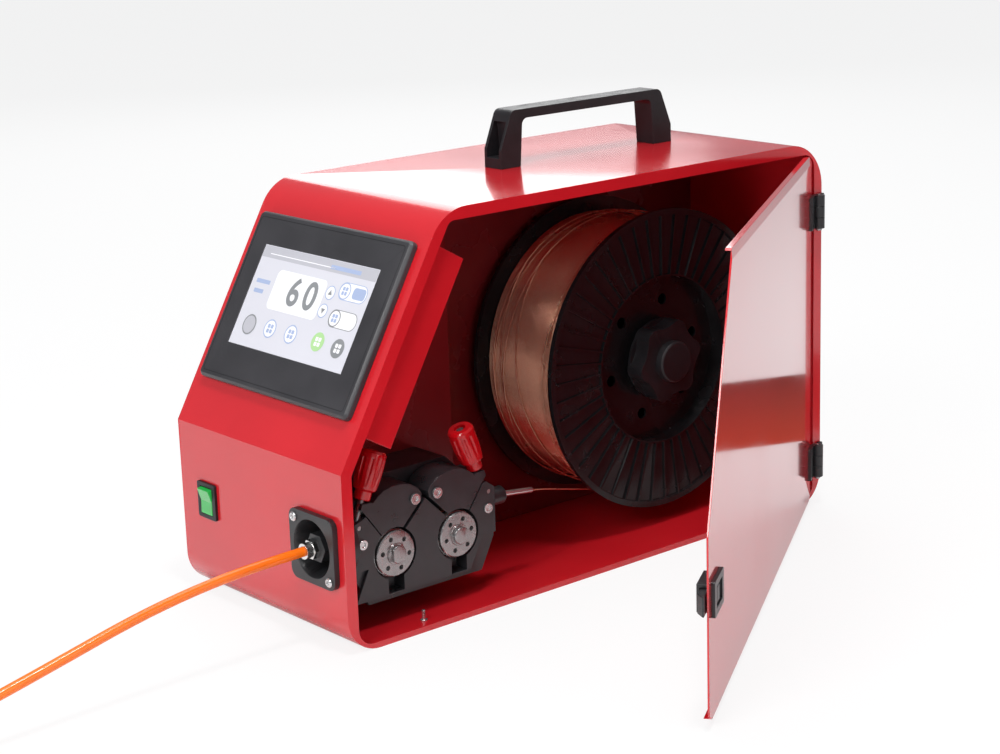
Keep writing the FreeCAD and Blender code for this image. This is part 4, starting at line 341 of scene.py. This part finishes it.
def skin(node, edge=0.0003, angle=35, steps=2):
    """A clean copy of a solid: whole flat faces, smooth curved ones and a small round on each edge."""
    build = bmesh.new()
    build.from_mesh(nodes[node].data)
    bmesh.ops.remove_doubles(build, verts=build.verts, dist=0.000004)
    bmesh.ops.dissolve_limit(build, angle_limit=math.radians(0.4), verts=build.verts, edges=build.edges)
    mesh = bpy.data.meshes.new(node + "_skin")
    build.to_mesh(mesh)
    build.free()
    mesh.shade_smooth()
    mesh.set_sharp_from_angle(angle=math.radians(angle))
    piece = bpy.data.objects.new(node + "_skin", mesh)
    scene.collection.objects.link(piece)
    if edge:
        rounds = piece.modifiers.new("rounds", "BEVEL")
        rounds.width = edge
        rounds.segments = steps
        rounds.limit_method = "ANGLE"
        rounds.angle_limit = math.radians(angle)
        rounds.harden_normals = True
    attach(piece, nodes[node]["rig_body"])
    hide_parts(node)
    return piece


def dress(material, slot, *names, edge=0.0003, angle=35):
    """Give several solids their finished copies in one material."""
    for name in names:
        piece = skin(name, edge, angle)
        piece.data.materials.append(material)


plated = finish("plated_brass", (0.70, 0.70, 0.68), 0.2, metal=1, grain=1500, depth=0.03, mottle=0.04)
nodes["conduit_fitting"].data.materials.clear()
nodes["conduit_fitting"].data.materials.append(plated)

# Case: one folded steel wrap with a return flange round each side, a flat closing panel and the stepped
# inner wall. All are sprayed in thick gloss enamel, which shows a slight orange peel.
case_red = (0.60, 0.012, 0.020)
enamel = finish("red_enamel", case_red, 0.20, grain=260, depth=0.055, mottle=0.03, patch=9, coat=0.5)
dress(enamel, "red_paint", "case_wrap", edge=0.0009, angle=30)
dress(enamel, "red_paint", "side_panel", "screen_cover", edge=0.0005, angle=30)
# The stepped inner wall has the same red enamel made much darker: painted shade for the light that falls off
# deep inside the bay.
shaded_inner_enamel = finish("shaded_inner_enamel", (0.16, 0.010, 0.012), 0.26, grain=260, depth=0.05, mottle=0.06,
                      patch=9, coat=0.3)
dress(shaded_inner_enamel, "red_paint", "partition", edge=0.0005, angle=30)
zinc = finish("zinc_screws", (0.60, 0.60, 0.60), 0.2, metal=0.85, grain=1600, depth=0.06, mottle=0.06,
              patch=120)
dress(zinc, "zinc", "case_screws", "stop_screw", "handle_screws", edge=0.0002)

# Carry handle: a glass filled nylon bridge with hollow feet, fixed from inside the case
nylon = finish("black_nylon", (0.014, 0.013, 0.015), 0.40, grain=1400, depth=0.22, mottle=0.12, patch=60,
               Specular_IOR_Level=0.35)
dress(nylon, "black_plastic", "carry_handle", edge=0.0012)

# Touch panel: a bevelled black frame round a lit glass. The page on it is drawn with plain round
# buttons and one number, as thin plates on the glass.
frame_plastic = finish("panel_frame", (0.034, 0.033, 0.037), 0.38, grain=2200, depth=0.12, mottle=0.08)
dress(frame_plastic, "gloss_black", "touch_bezel", edge=0.0006)
dress(nylon, "black_plastic", "touch_housing", edge=0.0005)


def lit(name, colour, strength=0.55, rough=0.12):
    """A colour shown on the lit screen."""
    material = finish(name, colour, rough, grain=3000, depth=0.0, mottle=0.015, patch=8)
    shader = material.node_tree.nodes["Principled BSDF"]
    shader.inputs["Emission Color"].default_value = (*colour, 1)
    shader.inputs["Emission Strength"].default_value = strength
    return material


page_grey = lit("page_grey", (0.56, 0.56, 0.61), 0.25)
dress(page_grey, "screen", "touch_screen", edge=0.0001)
slope_foot, slope_rise, slope_run = (0, -0.2725, 0.1475), 0.190, 0.1095
on_glass = Matrix.Translation(slope_foot) @ Matrix.Rotation(math.atan2(slope_rise, slope_run), 4, "X")
glass_face, page_layer = 0.00672, 0.00003


def page_plate(name, outline, material, level=1):
    """A flat figure on the glass from its outline across and up the slope, in metres."""
    build = bmesh.new()
    height = glass_face + page_layer * level
    face = build.faces.new([build.verts.new((x, y, height)) for x, y in outline])
    build.normal_update()
    if face.normal.z < 0:
        face.normal_flip()
    mesh = bpy.data.meshes.new(name)
    build.to_mesh(mesh)
    build.free()
    mesh.transform(on_glass)
    mesh.materials.append(material)
    piece = bpy.data.objects.new(name, mesh)
    scene.collection.objects.link(piece)
    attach(piece, "case")
    return piece


def disc(x, y, radius, count=40):
    """A round outline."""
    turns = [2 * math.pi * i / count for i in range(count)]
    return [(x + radius * math.cos(turn), y + radius * math.sin(turn)) for turn in turns]


def card(x, y, width, height, corner, count=6):
    """A rectangle with round corners, centred on x, y."""
    outline = []
    for turn, side_x, side_y in ((0, 1, 1), (90, -1, 1), (180, -1, -1), (270, 1, -1)):
        for i in range(count + 1):
            angle = math.radians(turn + 90 * i / count)
            outline.append((x + side_x * (width / 2 - corner) + corner * math.cos(angle),
                            y + side_y * (height / 2 - corner) + corner * math.sin(angle)))
    return outline


page_white = lit("page_white", (0.72, 0.72, 0.75), 0.28)
page_bar = lit("page_bar", (0.43, 0.43, 0.47), 0.2)
page_blue = lit("page_blue", (0.33, 0.40, 0.58), 0.2)
page_green = lit("page_green", (0.36, 0.58, 0.27), 0.22)
page_dark = lit("page_dark", (0.24, 0.25, 0.26), 0.1)
screen_y = 0.1175
page_plate("page_top_bar", card(0, screen_y + 0.0380, 0.155, 0.010, 0.0004), page_bar)
page_plate("page_title", card(0.037, screen_y + 0.0372, 0.040, 0.0035, 0.0006), page_blue, 2)
page_plate("page_rule", card(-0.022, screen_y + 0.0366, 0.090, 0.0008, 0.0002), page_white, 2)
page_plate("page_card", card(-0.013, screen_y + 0.0085, 0.068, 0.034, 0.005), page_white)
for index, (x, y, width) in enumerate([(-0.0625, 0.0125, 0.019), (-0.0645, 0.004, 0.013)]):
    page_plate(f"page_label_{index}", card(x, screen_y + y, width, 0.0035, 0.0006), page_blue)
for index, (x, y, rim, face) in enumerate([
    (0.056, 0.0205, page_blue, page_blue), (0.056, -0.0025, page_dark, page_white),
]):
    page_plate(f"page_pill_rim_{index}", card(x, screen_y + y, 0.036, 0.0150, 0.0070), rim)
    page_plate(f"page_pill_{index}", card(x, screen_y + y, 0.0345, 0.0138, 0.0065), page_white, 2)
    page_plate(f"page_pill_end_{index}", card(x + 0.008, screen_y + y, 0.016, 0.0095, 0.003), face, 3)
dial, round_key, pill_key, arrow_key, arrow_half = 0.0088, 0.0080, 0.0072, 0.0060, 0.0026
page_keys = [
    (-0.059, -0.025, dial, page_dark, page_bar, page_bar),
    (-0.030, -0.024, round_key, page_blue, page_white, page_blue),
    (-0.001, -0.024, round_key, page_blue, page_white, page_blue),
    (0.036, -0.024, round_key, page_green, page_green, page_white),
    (0.063, -0.025, round_key, page_dark, page_dark, page_white),
    (0.0285, 0.0165, arrow_key, page_blue, page_white, page_dark),
    (0.0275, 0.0010, arrow_key, page_blue, page_white, page_dark),
    (0.0455, 0.0205, pill_key, page_blue, page_white, page_blue),
    (0.0455, -0.0025, pill_key, page_dark, page_white, page_blue),
]
for index, (x, y, radius, rim, face, mark) in enumerate(page_keys):
    key_y = screen_y + y
    page_plate(f"page_button_{index}", disc(x, key_y, radius), rim, 4)
    page_plate(f"page_button_face_{index}", disc(x, key_y, radius * 0.86), face, 5)
    if radius == arrow_key:
        aim = arrow_half if y > 0.01 else -arrow_half
        page_plate(f"page_mark_{index}", [
            (x - arrow_half, key_y - aim * 0.7), (x + arrow_half, key_y - aim * 0.7), (x, key_y + aim),
        ], mark, 6)
    elif mark is not page_bar:
        apart, pip = radius * 0.26, radius * 0.42
        for side in (-1, 1):
            for lift in (-1, 1):
                pip_outline = card(x + side * apart, key_y + lift * apart, pip, pip, radius * 0.1)
                page_plate(f"page_mark_{index}_{side}_{lift}", pip_outline, mark, 6)
number = bpy.data.curves.new("page_number", "FONT")
number.body = "60"
number.size = 0.033
number.offset = 0.0007
number.space_character = 1.35
number.align_x = "CENTER"
number.align_y = "CENTER"
number_object = bpy.data.objects.new("page_number_curve", number)
scene.collection.objects.link(number_object)
number_mesh = bpy.data.meshes.new_from_object(number_object)
bpy.data.objects.remove(number_object)
number_mesh.transform(on_glass @ Matrix.Translation((-0.006, screen_y + 0.0085, glass_face + 0.0001)))
number_mesh.materials.clear()
number_mesh.materials.append(page_dark)
number_piece = bpy.data.objects.new("page_number", number_mesh)
scene.collection.objects.link(number_piece)
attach(number_piece, "case")
seam_shade = finish("frame_seam", (0.004, 0.004, 0.005), 0.5, grain=2200, depth=0.05)
seam_width, seam_height, seam_line, seam_level = 0.1956, 0.1376, 0.0010, 0.00705
seam_outer, seam_inner = (
    card(0, 0.115, seam_width - cut, seam_height - cut, 0.003 - cut / 2) for cut in (0, seam_line)
)
seam_mesh = bpy.data.meshes.new("frame_seam")
seam_count = len(seam_outer)
seam_mesh.from_pydata([(x, y, seam_level) for x, y in seam_outer + seam_inner], [], [
    (i, (i + 1) % seam_count, seam_count + (i + 1) % seam_count, seam_count + i) for i in range(seam_count)
])
seam_mesh.transform(on_glass)
seam_mesh.materials.append(seam_shade)
frame_seam = bpy.data.objects.new("frame_seam", seam_mesh)
scene.collection.objects.link(frame_seam)
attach(frame_seam, "case")

# Rocker switch: a black frame that clips into the front sheet, and a green rocker lit from behind
dress(nylon, "black_plastic", "rocker_frame", edge=0.0004)
lit_green = finish("lit_green", (0.015, 0.30, 0.06), 0.12, grain=600, depth=0.02, mottle=0.1, patch=60,
                   coat=0.6, Transmission_Weight=0.25, IOR=1.49)
green_shader = lit_green.node_tree.nodes["Principled BSDF"]
green_shader.inputs["Emission Color"].default_value = (0.03, 0.55, 0.08, 1)
green_shader.inputs["Emission Strength"].default_value = 0.35
dress(lit_green, "lit_green", "rocker_key", edge=0.0004)

# Wire socket: a moulded dish in the front sheet with two screws, a black hexagon boss on the brass
# body, and a plated nut and ring that grip the conduit
moulded = finish("moulded_black", (0.018, 0.018, 0.020), 0.34, grain=1800, depth=0.1, mottle=0.1, patch=50)
dress(moulded, "black_plastic", "socket_dish", "connector_boss", edge=0.0006)
dress(zinc, "zinc", "socket_screws", edge=0.0003)
brass = finish("brass", (0.72, 0.50, 0.20), 0.22, metal=1, grain=1500, depth=0.04, mottle=0.08, patch=90)
dress(brass, "brass", "wire_connector", edge=0.0002)
dress(plated, "nickel", "fitting_nut", edge=0.0004)

# Door: a folded sheet in the same enamel, polished flat, on two moulded hinges, with a sliding latch.
# Its gloss is what shows the dark card as a band.
door_enamel = finish("door_enamel", case_red, 0.10, grain=120, depth=0.012, mottle=0.02, patch=6, coat=0.8)
dress(door_enamel, "door_red", "door_panel", edge=0.0006, angle=30)
dress(moulded, "black_plastic", "hinge_case_leaves", "hinge_door_leaves", "latch_frame", "latch_slider",
      edge=0.0006)
steel = finish("turned_steel", (0.34, 0.33, 0.33), 0.25, metal=0.85, grain=1100, depth=0.05, mottle=0.06,
               patch=160)
dress(steel, "steel", "hinge_pins", edge=0.0002)

# Wire drive: a die cast block and a glass filled body with two pressure arms, satin black with fine
# grain, held by plated screws and bolts
feeder_satin = finish("feeder_satin", (0.022, 0.022, 0.025), 0.33, grain=1300, depth=0.14, mottle=0.1,
                      patch=70, Specular_IOR_Level=0.6)
dress(feeder_satin, "feeder_black", "feeder_base", "feeder_housing", "pressure_arm_rear",
      "pressure_arm_front", edge=0.0011)
dress(zinc, "zinc", "housing_screws", "pivot_bolts", edge=0.0004)
dress(steel, "steel", "rod_pins", "motor_pinion", edge=0.0001)
dress(steel, "steel", "drive_gear_rear", "drive_gear_front", edge=0.0001)
dress(steel, "steel", "drive_roll_rear", "drive_roll_front", "roll_cap_rear", "roll_cap_front",
      "pressure_roller_rear", "pressure_roller_front", edge=0.0003)
cast = finish("cast_aluminium", (0.52, 0.52, 0.53), 0.45, metal=1, grain=700, depth=0.2, mottle=0.06)
dress(cast, "aluminium", "motor_gearbox", "power_supply", edge=0.0008)
motor_black = finish("motor_black", (0.03, 0.03, 0.032), 0.35, metal=0.6, grain=900, depth=0.1, mottle=0.1)
dress(motor_black, "dark_steel", "drive_motor", edge=0.0006)
dress(nylon, "black_plastic", "motor_driver", "rear_socket", edge=0.0006)

# Tension knobs: fluted knobs of clear red acrylic on steel rods that swing out of the arms' forks
acrylic = finish("red_acrylic", (0.62, 0.005, 0.010), 0.14, grain=500, depth=0.02, mottle=0.08, patch=60,
                 coat=0.2, Transmission_Weight=0.1, IOR=1.49)
dress(acrylic, "clear_red", "tension_knob_rear", "tension_knob_front", edge=0.0005)
dress(steel, "steel", "tension_rod_rear", "tension_rod_front", edge=0.0003)

# Wire path: a black nut, a steel inlet tube, brass guides and the copper coated wire
dress(moulded, "black_plastic", "inlet_nut", edge=0.0003)
dress(zinc, "steel", "inlet_tube", edge=0.0002)
dress(brass, "brass", "wire_guides", edge=0.0001)
copper = finish("copper_coat", (0.82, 0.43, 0.29), 0.25, metal=0.92, grain=900, depth=0.0, mottle=0.02,
                patch=12)
dress(copper, "copper_wire", "welding_wire", edge=0)

# Spool: a moulded black polystyrene spool, ribbed outside its flanges. The wire on it is wound in
# close turns by Geometry Nodes, with a few loose turns that cross the others.
spool_black = finish("spool_black", (0.011, 0.011, 0.012), 0.24, grain=1500, depth=0.03, mottle=0.1, patch=40,
                     Specular_IOR_Level=0.4)
dress(spool_black, "black_plastic", "spool_body", "spool_hub", edge=0.0007)
dress(nylon, "black_plastic", "star_knob", edge=0.0012)


def inputs_of(tree, **sizes):
    """Add a number input to a node tree for each named size, and return the group's input node."""
    for name, value in sizes.items():
        kind = "NodeSocketInt" if isinstance(value, int) else "NodeSocketFloat"
        tree.interface.new_socket(name, in_out="INPUT", socket_type=kind).default_value = value
    return tree.nodes.new("NodeGroupInput")


def grown(name, tree, material, body):
    """Turn a node tree's result into a plain mesh of one piece."""
    carrier = bpy.data.objects.new(name + "_tree", bpy.data.meshes.new(name))
    scene.collection.objects.link(carrier)
    carrier.modifiers.new("grow", "NODES").node_group = tree
    whole = carrier.evaluated_get(bpy.context.evaluated_depsgraph_get())
    mesh = bpy.data.meshes.new_from_object(whole)
    carrier.modifiers.clear()
    bpy.data.objects.remove(carrier)
    mesh.shade_smooth()
    piece = bpy.data.objects.new(name, mesh)
    scene.collection.objects.link(piece)
    if not mesh.materials:
        mesh.materials.append(material)
    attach(piece, body)
    return piece


def wound_tree(name, material, radius, width, turns, wire, steps, lean=0.0):
    """A tree that winds one wire into a helix along X round the spool's centre."""
    tree = bpy.data.node_groups.new(name, "GeometryNodeTree")
    sizes = inputs_of(tree, Radius=radius, Width=width, Turns=float(turns), Wire=wire, Steps=steps, Lean=lean)
    tree.interface.new_socket("Geometry", in_out="OUTPUT", socket_type="NodeSocketGeometry")
    out = tree.nodes.new("NodeGroupOutput")
    helix = tree.nodes.new("GeometryNodeCurveSpiral")
    section = tree.nodes.new("GeometryNodeCurvePrimitiveCircle")
    section.inputs["Resolution"].default_value = 7
    half = tree.nodes.new("ShaderNodeMath")
    half.operation = "MULTIPLY"
    half.inputs[1].default_value = -0.5
    offset = tree.nodes.new("ShaderNodeCombineXYZ")
    centred = tree.nodes.new("GeometryNodeTransform")
    turned = tree.nodes.new("GeometryNodeTransform")
    turned.inputs["Rotation"].default_value = (0, math.pi / 2, 0)
    turned.inputs["Translation"].default_value = spool_centre
    sweep = tree.nodes.new("GeometryNodeCurveToMesh")
    sweep.inputs["Fill Caps"].default_value = True
    real = tree.nodes.new("GeometryNodeRealizeInstances")
    paint = tree.nodes.new("GeometryNodeSetMaterial")
    paint.inputs["Material"].default_value = material
    links = tree.links
    links.new(sizes.outputs["Steps"], helix.inputs["Resolution"])
    links.new(sizes.outputs["Turns"], helix.inputs["Rotations"])
    links.new(sizes.outputs["Radius"], helix.inputs["Start Radius"])
    links.new(sizes.outputs["Radius"], helix.inputs["End Radius"])
    links.new(sizes.outputs["Width"], helix.inputs["Height"])
    links.new(sizes.outputs["Wire"], section.inputs["Radius"])
    links.new(sizes.outputs["Width"], half.inputs[0])
    links.new(half.outputs[0], offset.inputs["Z"])
    links.new(sizes.outputs["Lean"], offset.inputs["X"])
    links.new(helix.outputs["Curve"], centred.inputs["Geometry"])
    links.new(offset.outputs[0], centred.inputs["Translation"])
    links.new(centred.outputs["Geometry"], turned.inputs["Geometry"])
    links.new(turned.outputs["Geometry"], sweep.inputs["Curve"])
    links.new(section.outputs["Curve"], sweep.inputs["Profile Curve"])
    links.new(sweep.outputs["Mesh"], real.inputs["Geometry"])
    links.new(real.outputs["Geometry"], paint.inputs["Geometry"])
    links.new(paint.outputs["Geometry"], out.inputs[0])
    return tree


wire_radius = 0.0006
winding_low, winding_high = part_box("wire_winding")
winding_width = winding_high[0] - winding_low[0] - 2 * wire_radius
spool_centre = tuple((low + high) / 2 for low, high in zip(winding_low, winding_high))
winding_outside, wire_pitch, turn_steps = 0.122, 0.00126, 72
close_turns = int(winding_width / wire_pitch)
close_tree = wound_tree("close_winding", copper, winding_outside - wire_radius, winding_width, close_turns,
                        wire_radius, turn_steps)
winding = grown("winding", close_tree, copper, "spool")
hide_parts("wire_winding")


def strand(name, turns, swing, beat, start, radius):
    """A loose turn that wanders from side to side over the winding."""
    curve = bpy.data.curves.new(name, "CURVE")
    curve.dimensions = "3D"
    curve.bevel_depth = wire_radius
    curve.bevel_resolution = 2
    line = curve.splines.new("POLY")
    count = int(turns * turn_steps)
    line.points.add(count)
    for i, point in enumerate(line.points):
        turned = 2 * math.pi * i / turn_steps
        turn = start + turned
        along = swing * winding_width / 2 * math.cos(beat * turned + start)
        point.co = (spool_centre[0] + along, spool_centre[1] + radius * math.sin(turn),
                    spool_centre[2] + radius * math.cos(turn), 1)
    carrier = bpy.data.objects.new(name + "_curve", curve)
    scene.collection.objects.link(carrier)
    whole = carrier.evaluated_get(bpy.context.evaluated_depsgraph_get())
    mesh = bpy.data.meshes.new_from_object(whole)
    bpy.data.objects.remove(carrier)
    mesh.shade_smooth()
    mesh.materials.append(copper)
    piece = bpy.data.objects.new(name, mesh)
    scene.collection.objects.link(piece)
    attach(piece, "spool")


strand("loose_turn_1", turns=3.3, swing=0.93, beat=0.31, start=0.4, radius=0.1234)
strand("loose_turn_2", turns=2.6, swing=0.80, beat=0.43, start=2.1, radius=0.1248)
strand("loose_turn_3", turns=1.8, swing=0.88, beat=0.22, start=4.0, radius=0.1262)

core_outside, core_inside, core_steps = 0.1211, 0.0785, 96
core_mesh = bpy.data.meshes.new("winding_core")
core_points = []
core_faces = []
for i in range(core_steps):
    turn = 2 * math.pi * i / core_steps
    for radius, side in ((core_outside, -0.5), (core_outside, 0.5), (core_inside, 0.5), (core_inside, -0.5)):
        core_points.append((spool_centre[0] + side * winding_width, spool_centre[1] + radius * math.sin(turn),
                            spool_centre[2] + radius * math.cos(turn)))
    following = (i + 1) % core_steps
    for j in range(4):
        core_faces.append((4 * i + j, 4 * i + (j + 1) % 4, 4 * following + (j + 1) % 4, 4 * following + j))
core_mesh.from_pydata(core_points, [], core_faces)
core_mesh.materials.append(copper)
core = bpy.data.objects.new("winding_core", core_mesh)
scene.collection.objects.link(core)
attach(core, "spool")
